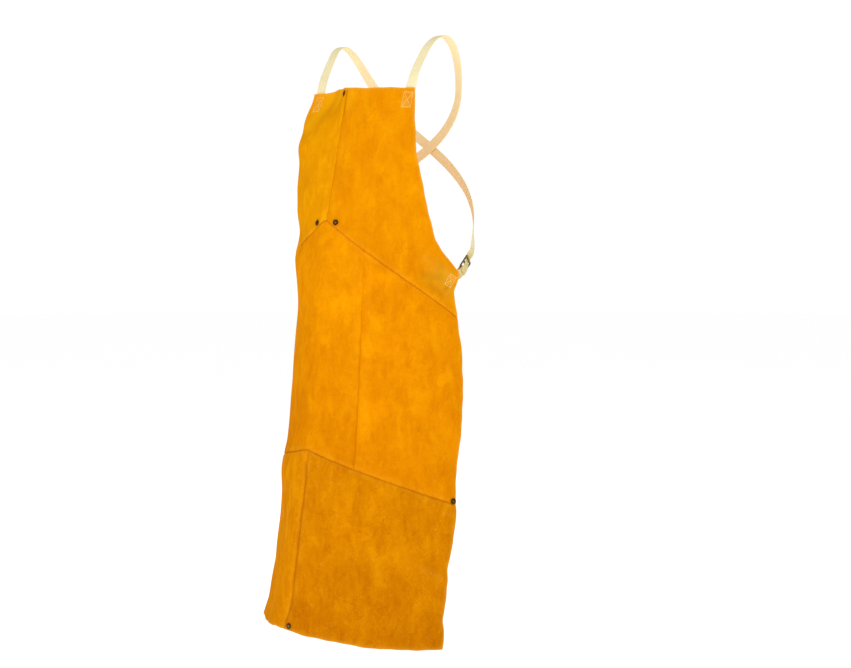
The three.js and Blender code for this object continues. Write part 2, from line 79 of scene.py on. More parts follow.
# The form of the hide when worn: how far forward the centre line is at each height, its sideways
# shift, how sharply the centre line is folded and how far the side edge turns back, in degrees
LEVELS = arrays("z front shift fold edge", [
    (-100, -134, 0, 3, 67),
    (-220, -161, 0, 6, 71),
    (-340, -188, 0, 12, 75),
    (-460, -211, 0, 16, 79),
    (-620, -227, 0, 18, 78),
    (-780, -241, -4, 21, 73),
    (-940, -263, -10, 25, 63),
    (-1080, -276, -17, 20, 67),
    (-1175, -282, -22, 15, 66),
])
HALF_WIDTH = 305
FOLD_REACH = 14
TURN_POWER = 1.15
TURN_STEPS = (np.arange(36) + 0.5) / 36

# On the right the hide stands off its even curve in places and sags between them
STAND = arrays("z out", [
    (-100, -5), (-140, -9), (-172, -3), (-205, 6.5), (-245, 0.5), (-300, 1.5), (-338, 1), (-380, -5),
    (-432, 1.5), (-525, -7), (-600, -5), (-690, -3), (-785, -1), (-842, 5.8), (-895, -0.5),
    (-950, -5.5), (-1080, -6), (-1160, -3),
])
STAND_REACH = (30, 130)

# The bib's top is pinched back beside the centre seam on the right
PINCH = Sizes(at=18, half=18, angle=35, full=-104, none=-168)

# The bib's right top corner is drawn forward by its strap, with a hollow before it
FLARE = Sizes(angle=32, start=85, end=118, hollow=0.7, at=60, half=22, full=-112, none=-200)

# Slow waves of the hanging hide, and their shares at the centre line, the side edges and the hem
WAVES = named("size across down phase", [
    (0.8, 210, 330, 0.4),
    (0.6, -120, 170, 2.1),
    (0.5, 83, 240, 4.0),
    (0.35, -61, 104, 5.2),
])
WAVE_SHARE = Sizes(middle=0.5, edge=0.9, low=0.5, reach=(800, 1150))

# Pattern lines, as distance along the hide from the centre line and height
PEAK = (0, -352)
PEAK_LEFT_END = (285, -539)
PEAK_RIGHT_END = (-285, -532)
MID_TOP = (88, -409.7)
MID_END = (97, -823.5)
LOW = (0, -789)
LOW_LEFT_END = (306, -897)
LOW_RIGHT_END = (-305, -846)
HEM_MIDDLE = (-18, -1136.7)
TOP_LEFT = [(0, -98.4), (34, -100.4), (78, -101.5), (119, -102), (147, -103)]
TOP_RIGHT = [(-148, -103), (-105, -101.6), (-92, -101), (-82, -99), (-48, -98.2), (0, -98.4)]
PEAK_RIGHT = [
    PEAK_RIGHT_END, (-240, -496), (-200, -459), (-165, -428), (-120, -404), (-77, -388.5),
    (-52, -380), (-36, -372), (-16, -357), (-6, -353), PEAK,
]
SKIRT_SEAM = [
    LOW, (4.5, -847), (4, -919), (3.5, -1000), (1, -1070), (-1, -1091), (-9.5, -1113), HEM_MIDDLE,
]
HEM_LEFT = [
    HEM_MIDDLE, (7, -1137), (30, -1142.6), (53, -1144.7), (97, -1150),
    (165, -1160), (250, -1167.5), (309.5, -1172),
]
HEM_RIGHT = [(-305, -1160), (-180, -1150), (-141, -1148), (-109, -1145.6), (-52, -1138.3), HEM_MIDDLE]
ARMHOLE_LEFT = [
    TOP_LEFT[-1], (150.5, -126), (152.5, -145), (159, -187), (163, -217), (172, -247), (186, -292),
    (203.5, -345), (221, -390), (238, -411), (256.7, -430.6), (279.5, -454), (276.5, -476), (272, -489),
    (276, -510), PEAK_LEFT_END,
]
ARMHOLE_RIGHT = [
    TOP_RIGHT[0], (-151, -124), (-157, -166), (-163, -209), (-174, -254), (-190, -299), (-206, -345),
    (-222, -390), (-238, -411), (-257, -431), (-280, -454), (-277, -475), (-272, -487),
    (-277, -508), PEAK_RIGHT_END,
]
SIDE_LEFT = [PEAK_LEFT_END, (298, -605), (305, -660), (305.5, -735), (302, -800), (302, -850), LOW_LEFT_END]
SIDE_RIGHT = [PEAK_RIGHT_END, (-296, -597), (-303, -645), (-305, -760), LOW_RIGHT_END]
SKIRT_LEFT = [
    LOW_LEFT_END, (309, -915), (308.5, -945), (305, -988), (302.5, -1012), (306.5, -1045), (305.5, -1095),
    (303, -1117), (308, -1131), (311, -1161), HEM_LEFT[-1],
]
SKIRT_RIGHT = [LOW_RIGHT_END, (-305, -1000), HEM_RIGHT[0]]

# Step along a pattern line, how far from its ends its corners are fully eased, and the waves that make
# a cut line slightly uneven
LINE_STEP = 2.5
EASE_FROM_END = 18
UNEVEN = named("size length turn", [(0.4, 13, 1), (0.3, 5.7, 2)])

# Cap rivets: place on the hide, how far to the side the hide is that they lie flat on, how rubbed
# they are, and the dimple and the darker ring round the cap that they make
RIVETS = named("s z lean rubbed", {
    "rivet_bib_top": (-11, -109, 0, 0),
    "rivet_peak_left": (22, -357, 0, 0.7),
    "rivet_peak_right": (-30, -358, 0, 0),
    "rivet_skirt_edge": (300, -890, 0, 0.5),
    "rivet_hem": (-3, -1128.4, 10, 1),
})
DIMPLE = Sizes(deep=0.5, half=8)
RIVET_RING = Sizes(dark=0.7, at=5.5, half=2.2)

# Each seam's look: how dark its line of painted shade is, how far that spreads and below which height it
# starts, how far the under hide takes to rise from behind the over hide, how far the over hide's edge is
# rolled in and over what width, and how pale the painted highlight on its ridges is
SEAMS = named("dark spread start rise roll ease pale", {
    "bib": (0.04, 2, 0, 14, 1.3, 11, 0.1),
    "peak": (0.36, 0.9, 0, 4.5, 0.8, 3.2, 0.16),
    "mid": (0.5, 1.3, -560, 16, 1.4, 12, 0.06),
    "low": (0.5, 1, 0, 4.5, 0.8, 3.2, 0.16),
    "skirt": (0.9, 2.2, -800, 7, 0.9, 5, 0.16),
})
SEAM_FADE = 30
SWELL = Sizes(high=0.35, at=6, half=6)
# Where the painted highlight on a seam's ridge lies, from the end of the rise or the roll, and over what half
# width
RIDGE_HIGHLIGHT = named("at half", {"under": (0, 2.5), "over": (2, 3)})
# The under hide starts to rise this share of its rise before the seam, and a side lap's ends fade out
EARLY_RISE = 0.25
LAP_FADE = 3

# Cut edges: how far their wear reaches, how far the rim bulges and where its two rings lie
CUT_WEAR = 2.4
RIM_BULGE = 0.35
RIM_RING = 0.28

# Creases, dents, stains and scuffs of the hide, from a start to an end
# A dent's dark is painted shade in its crease and a raised ridge's pale is painted highlight; most flat rows
# are stains and scuffs
CREASES = named("start end half deep dark pale", [
    ((-2, -104), (2, -150), 3, 0.8, 0.5, 0),
    ((16.4, -817), (7, -846), 3.5, 0.9, 0.22, 0),
    ((9, -806), (2, -838), 4, -0.5, 0, 0.14),
    ((8.4, -863), (28, -884), 4, 0.6, 0.14, 0),
    ((280, -948), (308, -960), 4, 0.9, 0.22, 0),
    ((246, -1012), (302, -1042), 5, -0.7, 0, 0.16),
    ((256, -1000), (304, -1022), 5, 0.7, 0.1, 0),
    ((278, -910), (303, -914), 3, -0.5, 0, 0.2),
    ((252, -486), (256, -479.6), 3, 0.7, 0.55, 0),
    ((256, -479.6), (266, -477), 3, 0.7, 0.55, 0),
    ((207, -452), (236, -460), 8, 1.6, 0.2, 0),
    ((225, -477), (246, -492), 8, 1.6, 0.3, 0),
    ((206, -425), (234, -444), 10, -1, 0, 0.25),
    ((228, -446), (262, -482), 22, 0, 0, 0.3),
    ((250, -452), (264, -476), 10, 0, 0, 0.6),
    ((14, -735), (82, -795), 26, 0, 0.13, 0),
    ((20, -828), (130, -858), 16, 0, 0.1, 0),
    ((18, -1085), (75, -1108), 24, 0, 0.12, 0),
    ((90, -1010), (170, -1030), 22, 0, 0.07, 0),
    ((-40, -560), (-10, -700), 40, 0, 0.06, 0),
    ((-284, -560), (-240, -552), 8, 1.4, 0.1, 0),
    # Painted shade beside the bib's centre seam
    ((-14, -112), (-9, -185), 9, 0, 0.12, 0),
    ((-262, -880), (-240, -1120), 60, 0, 0, 0.12),
])

# Where handling has turned the hide ochre, and where light is painted on to brighten the bibs' shaded upper
# parts
OCHRE_AND_PAINTED_LIGHT = named("mark start end half share", [
    ("ochre", (238, -456), (262, -484), 20, 0.85),
    ("ochre", (214, -462), (244, -484), 14, 0.6),
    ("ochre", (-238, -456), (-262, -484), 20, 0.85),
    ("faded", (-127, -163), (-92, -110), 22, 0.95),
    ("faded", (-92, -112), (-36, -122), 18, 0.75),
    ("faded", (14, -112), (12, -132), 14, 0.6),
])

# Boxed stitching: middle, half length and half width, and the direction of the length on the hide
BOXES = named("at half along", {
    "stitching_bib_left": ((136, -125), (14, 8.5), (0.06, 1)),
    "stitching_bib_right": ((-131, -124), (14, 8.5), (-0.06, 1)),
    "stitching_waist_left": ((262, -467.5), (11, 7.5), (0.5, 0.87)),
    "stitching_waist_right": ((-262, -467.5), (11, 7.5), (-0.5, 0.87)),
})
BOX_RUB = 4
# A stitch's pitch, thread radius and depth, on the outer face and behind the webbing, and its form
STITCH = Sizes(pitch=3.6, radius=0.75, outside=-0.05, inside=SEWN + WEB + 0.1)
STITCH_FORM = arrays("along lift thick", [
    (0.06, -0.35, 0.7), (0.18, 0.15, 1), (0.5, 0.34, 1.05), (0.82, 0.15, 1), (0.94, -0.35, 0.7),
])

# Slide buckle: a frame with two slots, cast with squarish bars that are rubbed on their faces
BUCKLE = Sizes(width=27, height=30, thick=2.6, bar=3.8, side=2.8, corner=3)
BUCKLE_CENTRE = (194, -9, -438)
BUCKLE_UP = (0.05, 0.7, 0.71)
BUCKLE_FACE = (0.96, 0.08, -0.25)
BAR_SIDES = 16
BAR_POWER = 0.55
BAR_RUB = 0.8
MIDDLE_BAR = Sizes(rings=15, into_side=0.6, thick=0.97)

# Where the waist tab is sewn behind the hide, how much deeper its upper place is, its narrow part along
# the buckle's own height, how many steps its legs take to part and how it turns round the bar
TAB_LOW = (257, -483.5)
TAB_HIGH = (270, -462)
TAB_DEEPER = 1.3
TAB_NECK = -23
TAB_THROAT = -18
TAB_PARTING = 12
TAB_TURN = (0, 22, 45, 68, 90)

# Shoulder straps from the bib over the shoulder to the far waist: position and outward direction
STRAP_LEFT = [
    ((132.5, -87, -76), (0.08, -0.95, 0.3)),
    ((132.5, -65, -42), (0.08, -0.85, 0.5)),
    ((134, -48, -20), (0.05, -0.75, 0.66)),
    ((135, -30, -6), (0, -0.45, 0.9)),
    ((135, -6, 0.9), (0, 0, 1)),
    ((134, 18, -8), (0, 0.6, 0.8)),
    ((130, 40, -32), (0.1, 0.85, 0.5)),
    ((118, 64, -72), (0.2, 0.95, 0.25)),
    ((92, 91, -124), (0.25, 0.97, 0.1)),
    ((50, 109, -170), (0.1, 1, 0)),
    ((0, 115, -208), (0, 1, 0)),
    ((-60, 107, -248), (-0.2, 0.98, 0)),
    ((-118, 86, -292), (-0.5, 0.87, 0)),
    ((-160, 57, -336), (-0.75, 0.65, -0.1)),
    ((-186, 26, -380), (-0.9, 0.42, -0.2)),
]
STRAP_RIGHT = [
    ((-123.5, -71, -86), (0.1, -0.9, 0.4)),
    ((-128, -55, -60), (0.1, -0.85, 0.5)),
    ((-131, -35, -31), (0, -0.8, 0.6)),
    ((-135, -16, -11.5), (0, -0.5, 0.85)),
    ((-136, 2, -4), (0, 0, 1)),
    ((-135, 22, -10.5), (0, 0.6, 0.8)),
    ((-131, 45, -33), (-0.1, 0.85, 0.5)),
    ((-118, 67, -72), (-0.2, 0.95, 0.25)),
    ((-92, 94, -124), (-0.25, 0.97, 0.1)),
    ((-50, 112.5, -170), (-0.1, 1, 0)),
    ((0, 119, -208), (0, 1, 0)),
    ((60, 109, -248), (0.2, 0.98, 0)),
    ((118, 86, -292), (0.5, 0.87, 0)),
    ((160, 57, -336), (0.75, 0.65, -0.1)),
    ((186, 26, -380), (0.9, 0.42, -0.2)),
]
# The strap's sewn end behind the bib: shift from its place across the hide, height and extra depth
STRAP_SEWN = [(-1, -150, 0.6), (0, -132, 0), (2, -114, 0)]
STRAP_PLACE = Sizes(left=135.5, right=132)
# The strap's way through the buckle: along the buckle and out from its middle plane
STRAP_THREAD = [
    (32, -3.4), (20, -3.4), (13.4, -3.15), (11.2, -2.7), (1.9, 2.7), (-0.5, 3.2), (-6, 4.4), (-10, 5),
    (-19, 5.3),
]
# Steps along the webbing, its section as shares of half its width, how its selvedges are rounded and
# between which depths below the shoulders shade is painted on it near the buckles
STRAP_STEP = 3
TAB_STEP = 2
WEB_HALF = np.array([0, 0.25, 0.5, 0.75, 0.93, 0.985, 1])
WEB_ACROSS = np.concatenate([-WEB_HALF[:0:-1], WEB_HALF])
SELVEDGE = Sizes(power=14, least=0.12)
WEB_PAINTED_SHADE = (380, 440)

# Turned profiles of a rivet's cap and back, as radius and height, and the radius of the cap's boss
CAP = [
    (0, -0.3), (5.3, -0.3), (5.5, 0.1), (5.5, 0.55), (5.3, 0.95), (4.9, 1.25), (4.3, 1.42), (3.7, 1.4),
    (3.25, 1.2), (3.05, 0.95), (2.85, 0.9), (2.65, 1.05), (2.2, 1.4), (1.5, 1.7), (0.7, 1.85), (0, 1.9),
]
BACK = [
    (0, -1.1), (2.6, -1.1), (3.3, -1), (3.6, -0.7), (3.6, -0.2), (3.4, 0.1), (1.9, 0.2), (1.9, 4.4), (0, 4.4),
]
BOSS = 2.7


# Form of the hide


def smoothstep(value, low, high):
    f = np.clip((value - low) / (high - low), 0, 1)
    return f * f * (3 - 2 * f)


def bell(distance, half):
    """One at no distance, falling smoothly to nothing."""
    return np.exp(-((distance / half) ** 2))


def hermite(f, first, last, leaving, arriving):
    """Cubic between two values with given slopes, a share f of the way."""
    rest = 3 * (last - first) - 2 * leaving - arriving
    return first + f * (leaving + f * (rest + f * (2 * (first - last) + leaving + arriving)))


def level(z, heights, values):
    """Smooth value of a table's column at height z."""
    ends = np.diff(values) / np.diff(heights)
    inner = (values[2:] - values[:-2]) / (heights[2:] - heights[:-2])
    slopes = np.concatenate([ends[:1], inner, ends[-1:]])
    i = np.clip(np.searchsorted(-heights[1:], -z), 0, len(heights) - 2)
    span = heights[i + 1] - heights[i]
    f = np.clip((z - heights[i]) / span, -0.2, 1.2)
    return hermite(f, values[i], values[i + 1], span * slopes[i], span * slopes[i + 1])


def wave(s, z):
    """How far the hanging hide stands out of its smooth form."""
    total = 0
    for row in WAVES:
        turns = s / row.across + z / row.down
        total = total + row.size * np.sin(math.tau * turns + row.phase)
    edge = WAVE_SHARE.edge * (np.abs(s) / HALF_WIDTH) ** 2
    low = WAVE_SHARE.low * smoothstep(-z, *WAVE_SHARE.reach)
    return total * (WAVE_SHARE.middle + edge + low)


def face(s, z):
    """Points on the outer face of the hide at pattern positions (s, z)."""
    s, z = np.broadcast_arrays(np.asarray(s, float), np.asarray(z, float))
    fold = np.radians(level(z, LEVELS.z, LEVELS.fold))[..., None]
    edge = np.radians(level(z, LEVELS.z, LEVELS.edge))[..., None]
    reach = np.abs(s)[..., None]
    side = np.sign(s)
    right = np.where(s < 0, 1, 0)
    pinch, flare = (
        (right * math.radians(form.angle) * smoothstep(z, form.none, form.full))[..., None]
        for form in (PINCH, FLARE)
    )

    def turn(a):
        bump = np.exp(-(((a - PINCH.at) / PINCH.half) ** 4))
        hollow = FLARE.hollow * bell(a - FLARE.at, FLARE.half)
        even = fold * (1 - np.exp(-a / FOLD_REACH)) + (edge - fold) * (a / HALF_WIDTH) ** TURN_POWER
        return even + pinch * bump + flare * (hollow - smoothstep(a, FLARE.start, FLARE.end))

    turns = turn(reach * TURN_STEPS)
    x = level(z, LEVELS.z, LEVELS.shift) + side * np.abs(s) * np.cos(turns).mean(-1)
    y = level(z, LEVELS.z, LEVELS.front) + np.abs(s) * np.sin(turns).mean(-1)
    last = turn(reach)[..., 0]
    out = wave(s, z) + right * level(z, STAND.z, STAND.out) * smoothstep(np.abs(s), *STAND_REACH)
    return np.stack([x + side * np.sin(last) * out, y - np.cos(last) * out, z], -1)


def unit(vectors):
    return vectors / np.linalg.norm(vectors, axis=-1, keepdims=True)


def outward(s, z):
    s = np.asarray(s, float)
    z = np.asarray(z, float)
    across = face(s + 1, z) - face(s - 1, z)
    up = face(s, z + 1) - face(s, z - 1)
    return unit(np.cross(across, up))


def behind(s, z, depth):
    return face(s, z) - outward(s, z) * np.asarray(depth, float)[..., None]


# Meshes


def piece(name, points, faces, materials, face_materials=None, fields=None, uv=None, sharp=50):
    """A mesh object that rides on the body. Points are in millimetres."""
    mesh = bpy.data.meshes.new(name)
    mesh.from_pydata((np.asarray(points) * MM).tolist(), [], faces)
    for material in materials:
        mesh.materials.append(material)
    if face_materials is not None:
        mesh.polygons.foreach_set("material_index", face_materials)
    mesh.polygons.foreach_set("use_smooth", [True] * len(mesh.polygons))
    for label, values in (fields or {}).items():
        attribute = mesh.attributes.new(label, "FLOAT", "POINT")
        attribute.data.foreach_set("value", np.asarray(values, np.float32))
    if uv is not None:
        corners = np.empty(len(mesh.loops), np.int32)
        mesh.loops.foreach_get("vertex_index", corners)
        layer = mesh.uv_layers.new(name="weave")
        layer.data.foreach_set("uv", np.asarray(uv, np.float32)[corners].ravel())
    mesh.update()
    mesh.set_sharp_from_angle(angle=math.radians(sharp))
    made = bpy.data.objects.new(name, mesh)
    bpy.context.collection.objects.link(made)
    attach(made, "root")
    return made


def skin(rings, closed=False):
    """Points and faces of a skin over equal rings of points, with flat ends unless it closes on itself."""
    count, sides = rings.shape[:2]
    faces = []
    for i in range(count if closed else count - 1):
        m = (i + 1) % count
        for k in range(sides):
            n = (k + 1) % sides
            faces.append([i * sides + k, i * sides + n, m * sides + n, m * sides + k])
    if not closed:
        faces.append(list(range(sides))[::-1])
        faces.append([(count - 1) * sides + k for k in range(sides)])
    return rings.reshape(-1, 3), faces


def join(parts):
    """Several lists of points and faces as one."""
    points = []
    faces = []
    for part_points, part_faces in parts:
        start = len(points)
        points.extend(part_points)
        faces.extend([[start + k for k in f] for f in part_faces])
    return np.array(points), faces


# Pattern lines and panels

# A panel's edge is cut, or lies over or under its neighbour at a seam
Edge = namedtuple("Edge", "kind seam line")


def along(line, axis, share):
    """Points on a pattern line by their share of the way, measured along s (axis 0) or z (axis 1)."""
    points = np.array(line, float)
    goal = points[0, axis] + share * (points[-1, axis] - points[0, axis])
    if points[-1, axis] < points[0, axis]:
        points = points[::-1]
    i = np.clip(np.searchsorted(points[:, axis], goal) - 1, 0, len(points) - 2)
    f = (goal - points[i, axis]) / (points[i + 1, axis] - points[i, axis])
    return points[i] + f[..., None] * (points[i + 1] - points[i])


def eased_line(line, axis, ease):
    """A pattern line with its corners eased over a few millimetres and its ends kept."""
    length = abs(line[-1][axis] - line[0][axis])
    share = np.linspace(0, 1, int(length / LINE_STEP) + 1)
    exact = along(line, axis, share)
    eased = sum(along(line, axis, np.clip(share + step / length, 0, 1)) for step in (-ease, 0, ease)) / 3
    keep = smoothstep(np.minimum(share, 1 - share) * length, 0, EASE_FROM_END)
    points = exact + (eased - exact) * keep[:, None]
    points[:, axis] = exact[:, axis]
    return points, share * length, keep


def cut(line, axis, phase, ease=3.5):
    """A panel's free edge: an eased line whose run is slightly uneven."""
    points, place, keep = eased_line(line, axis, ease)
    for row in UNEVEN:
        points[:, 1 - axis] += keep * row.size * np.sin(place / row.length + row.turn * phase)
    return Edge("cut", None, points)


def spot(panel, u, v):
    """Pattern points at shares (u, v) between a panel's four lines."""
    top, bottom, left, right = (np.array(panel[edge].line, float) for edge in EDGES)
    a = u[..., None]
    b = v[..., None]
    ends = (1 - b) * along(top, 0, u) + b * along(bottom, 0, u)
    sides = (1 - a) * along(left, 1, v) + a * along(right, 1, v)
    upper = (1 - b) * ((1 - a) * top[0] + a * top[-1])
    lower = b * ((1 - a) * bottom[0] + a * bottom[-1])
    return ends + sides - upper - lower


def segment_distance(s, z, start, end):
    """Distance of pattern points from a short line."""
    run = np.subtract(end, start)
    share = ((s - start[0]) * run[0] + (z - start[1]) * run[1]) / (run @ run)
    share = np.clip(share, 0, 1)
    return np.hypot(s - start[0] - share * run[0], z - start[1] - share * run[1])


# Grid lines near each kind of edge, as insets from it. An under edge runs on behind its neighbour.
NEAR = {
    "cut": [0, 1, 3, 6],
    "over": [0, 0.6, 1.3, 2.2, 3.2, 5, 8, 12],
    "under": [-16, -11, -6, -2, 0.05, 1.0, 2.1, 3.1, 4.3, 6, 8.5, 12, 16],
}
# A panel's height before it is known, to turn insets into shares, and how close counts as touching
USUAL_HEIGHT = 400
TOUCH = 0.01

# The four sides of a grid cell: way to the neighbour and the panel's edge on that side
SIDES = [((0, -1), "top"), ((1, 0), "right"), ((0, 1), "bottom"), ((-1, 0), "left")]
EDGES = ("top", "bottom", "left", "right")

# Marks that the inside of the hide doesn't show
OUTSIDE_MARKS = ("seam", "rub", "ochre", "faded")


def grid_lines(first, last, length, step, stops=()):
    """Lines across a panel, each as a share of the way plus an inset in millimetres."""
    before = [(0, inset) for inset in NEAR[first.kind]]
    after = [(1, -inset) for inset in reversed(NEAR[last.kind])]
    marks = [before[-1], *[(stop, 0) for stop in stops], after[0]]
    inner = []
    for start, end in zip(marks, marks[1:]):
        gap = (end[0] - start[0]) * length + end[1] - start[1]
        count = max(1, round(gap / step))
        for k in range(count):
            f = k / count
            inner.append((start[0] + f * (end[0] - start[0]), start[1] + f * (end[1] - start[1])))
    return np.array([*before[:-1], *inner, *after], float)


def panel_grid(panel):
    """A panel's columns and rows, its pattern points and how far they are from each edge."""
    wide, tall = panel["size"]
    columns = grid_lines(panel["left"], panel["right"], wide, panel["step"], panel.get("stops", ()))
    rows = grid_lines(panel["top"], panel["bottom"], tall, panel["step"])
    v = np.clip(rows[:, 0] + rows[:, 1] / USUAL_HEIGHT, 0, 1)
    ones = np.ones_like(v)
    width = np.linalg.norm(spot(panel, ones, v) - spot(panel, 0 * ones, v), axis=-1)
    u = columns[:, 0, None] + columns[:, 1, None] / width
    within = np.clip(u, 0, 1)
    ones = np.ones_like(u)
    height = np.linalg.norm(spot(panel, within, ones) - spot(panel, within, 0 * ones), axis=-1)
    v = rows[None, :, 0] + rows[None, :, 1] / height
    far = {"left": u * width, "right": (1 - u) * width, "top": v * height, "bottom": (1 - v) * height}
    place = spot(panel, u, v)
    return columns, rows, place[..., 0], place[..., 1], far


def panel_relief(panel, s, z, far):
    """How deep the whole hide lies, how deep its outer skin alone is pressed in, and its marks."""
    tucked = np.zeros_like(s)
    dent = np.zeros_like(s)
    pressed = np.zeros_like(s)
    marks = {name: np.zeros_like(s) for name in ("wear_and_highlight", *OUTSIDE_MARKS)}

    def mark(name, strength):
        marks[name] = np.maximum(marks[name], strength)

    for edge, d in far.items():
        kind, seam, _ = panel[edge]
        if kind == "cut":
            mark("wear_and_highlight", np.exp(-np.maximum(d, 0) / CUT_WEAR))
            continue
        look = SEAMS[seam]
        # Painted shade: a dark line along the seam, as if shaded in its groove
        dark = look.dark * smoothstep(-z, -look.start, SEAM_FADE - look.start)
        mark("seam", dark * np.exp(-np.maximum(d, 0) / look.spread))
        if kind == "under":
            ridge = look.rise
            share = 1 - smoothstep(d, -EARLY_RISE * ridge, ridge)
            if edge != "top":
                for end, stop in zip(("top", "bottom"), panel["lap_side"]):
                    share = share * smoothstep(far[end], stop - LAP_FADE, stop)
            tucked = np.maximum(tucked, LAP * share)
        else:
            ridge = look.ease
            pressed = pressed + look.roll * np.clip(1 - d / ridge, 0, 1) ** 2
        pressed = pressed - SWELL.high * bell(d - ridge - SWELL.at, SWELL.half)
        # Painted highlight: a pale band on the swelling ridge past the rise or the roll
        rub = RIDGE_HIGHLIGHT[kind]
        mark("wear_and_highlight", look.pale * bell(d - ridge - rub.at, rub.half))
    for row in RIVETS.values():
        r = np.hypot(s - row.s, z - row.z)
        pressed = pressed + DIMPLE.deep * bell(r, DIMPLE.half)
        # A darker ring round each rivet cap
        mark("seam", RIVET_RING.dark * bell(r - RIVET_RING.at, RIVET_RING.half))
    for row in CREASES:
        near = bell(segment_distance(s, z, row.start, row.end), row.half)
        dent = dent + row.deep * near
        # A dent's dark is painted shade and a raised ridge's pale painted highlight; flat rows are mostly
        # stains and scuffs
        mark("seam", row.dark * near)
        mark("wear_and_highlight", row.pale * near)
    # Ochre from handling, and painted light on the bibs' shaded upper parts
    for row in OCHRE_AND_PAINTED_LIGHT:
        mark(row.mark, row.share * bell(segment_distance(s, z, row.start, row.end), row.half))
    for box in BOXES.values():
        mark("rub", box_share(box, s, z))
    return tucked + dent, pressed, marks


def hide_panel(name, panel, materials):
    """One thick hide panel with its rolled seam edges, its laps and its cut rim."""
    columns, rows, s, z, far = panel_grid(panel)
    depth, pressed, marks = panel_relief(panel, s, z, far)
    # Darker towards the bottom of the hide
    marks["low"] = smoothstep(-z, *panel["darker_below"])
    normal = outward(s, z)
    middle = face(s, z) - normal * depth[..., None]
    outer_skin = middle - normal * pressed[..., None]
    inner_skin = middle - normal * HIDE

    # The laps lie beyond the panel's own lines and stop short of its corners
    wide = len(columns) - 1
    tall = len(rows) - 1
    beyond_left = (columns[:-1, 0] == 0) & (columns[:-1, 1] < 0)
    beyond_right = (columns[1:, 0] == 1) & (columns[1:, 1] > 0)
    in_side = beyond_left | beyond_right
    in_top = (rows[:-1, 0] == 0) & (rows[:-1, 1] < 0)

    def filled(i, j):
        if i < 0 or j < 0 or i >= wide or j >= tall or (in_side[i] and in_top[j]):
            return False
        if in_top[j]:
            start, end = panel["lap_top"]
            return far["left"][i, j] >= start - TOUCH and far["right"][i + 1, j] >= end - TOUCH
        if in_side[i]:
            start, end = panel["lap_side"]
            return far["top"][i, j] >= start - TOUCH and far["bottom"][i, j + 1] >= end - TOUCH
        return True

    points = []
    fields = {label: [] for label in (*marks, "inside")}
    index = {}

    def vertex(key, point, inside, rim=False):
        if key not in index:
            index[key] = len(points)
            points.append(point)
            for label, values in marks.items():
                fields[label].append(0 if inside and label in OUTSIDE_MARKS else values[key[:2]])
            if rim:
                fields["wear_and_highlight"][-1] = 1
            fields["inside"].append(inside)
        return index[key]

    # Two skins, and at the border two rings that round the cut rim
    faces = []
    paints = []
    borders = []
    rim_out = {}
    for i in range(wide):
        for j in range(tall):
            if not filled(i, j):
                continue
            ring = [(i, j), (i + 1, j), (i + 1, j + 1), (i, j + 1)]
            faces.append([vertex((*k, "outer"), outer_skin[k], 0) for k in ring[::-1]])
            faces.append([vertex((*k, "inner"), inner_skin[k], 1) for k in ring])
            paints += [0, 0]
            for a, b, ((di, dj), edge) in zip(ring, ring[1:] + ring[:1], SIDES):
                if filled(i + di, j + dj):
                    continue
                free = panel[edge].kind == "cut" and not in_top[j] and not in_side[i]
                borders.append((a, b, free))
                push = unit(np.cross(normal[a], outer_skin[b] - outer_skin[a]))
                for k in (a, b):
                    rim_out[k] = rim_out.get(k, 0) + push
    for a, b, free in borders:
        strips = []
        for k in (a, b):
            bulge = unit(rim_out[k]) * RIM_BULGE
            upper = outer_skin[k] * (1 - RIM_RING) + inner_skin[k] * RIM_RING + bulge
            lower = outer_skin[k] * RIM_RING + inner_skin[k] * (1 - RIM_RING) + bulge
            rings = [vertex((*k, "upper"), upper, 0, free), vertex((*k, "lower"), lower, 1, free)]
            strips.append([index[(*k, "outer")], *rings, index[(*k, "inner")]])
        for k in range(3):
            faces.append([strips[0][k], strips[1][k], strips[1][k + 1], strips[0][k + 1]])
            paints.append(1 if free else 0)
    made = piece(name + "_hide", points, faces, materials, paints, fields)
    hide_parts(name)
    return made


# Boxed stitching


def box_axes(box):
    length = unit(np.array(box.along, float))
    return length, np.array([length[1], -length[0]])


def box_share(box, s, z):
    """One inside a stitched box, falling to nothing just outside it."""
    length, across = box_axes(box)
    offset = np.stack([s - box.at[0], z - box.at[1]], -1)
    over = np.maximum(np.abs(offset @ length) - box.half[0], np.abs(offset @ across) - box.half[1])
    return 1 - smoothstep(over, 0, BOX_RUB)


def box_lines(box):
    """The box's four sides and two diagonals, as pattern lines."""
    length, across = box_axes(box)
    corners = []
    for a, b in ((-1, -1), (1, -1), (1, 1), (-1, 1)):
        corners.append(np.array(box.at) + a * box.half[0] * length + b * box.half[1] * across)
    ends = [(0, 1), (1, 2), (2, 3), (3, 0), (0, 2), (1, 3)]
    return [(corners[a], corners[b]) for a, b in ends]


def tube(path, radius, sides=6):
    """Points and faces of a round thread along a path."""
    run = unit(np.gradient(path, axis=0))
    helper = np.where(np.abs(run[:, 2:]) > 0.9, (1.0, 0, 0), (0, 0, 1.0))
    across = unit(np.cross(run, helper))
    rise = np.cross(across, run)
    angle = math.tau * np.arange(sides) / sides
    ring = np.cos(angle)[None, :, None] * across[:, None] + np.sin(angle)[None, :, None] * rise[:, None]
    return skin(path[:, None] + radius[:, None, None] * ring)


def stitching(name, box, depth):
    """Raised stitches along a box's lines. A negative depth lies on the outer face."""
    parts = []
    side = 1 if depth <= 0 else -1
    for start, end in box_lines(box):
        count = max(1, round(np.linalg.norm(end - start) / STITCH.pitch))
        for k in range(count):
            f = (k + STITCH_FORM.along) / count
            at = start + f[:, None] * (end - start)
            path = behind(at[:, 0], at[:, 1], depth - STITCH_FORM.lift * side)
            parts.append(tube(path, STITCH.radius * STITCH_FORM.thick))
    points, faces = join(parts)
    return piece(name, points, faces, [THREAD])


# Webbing


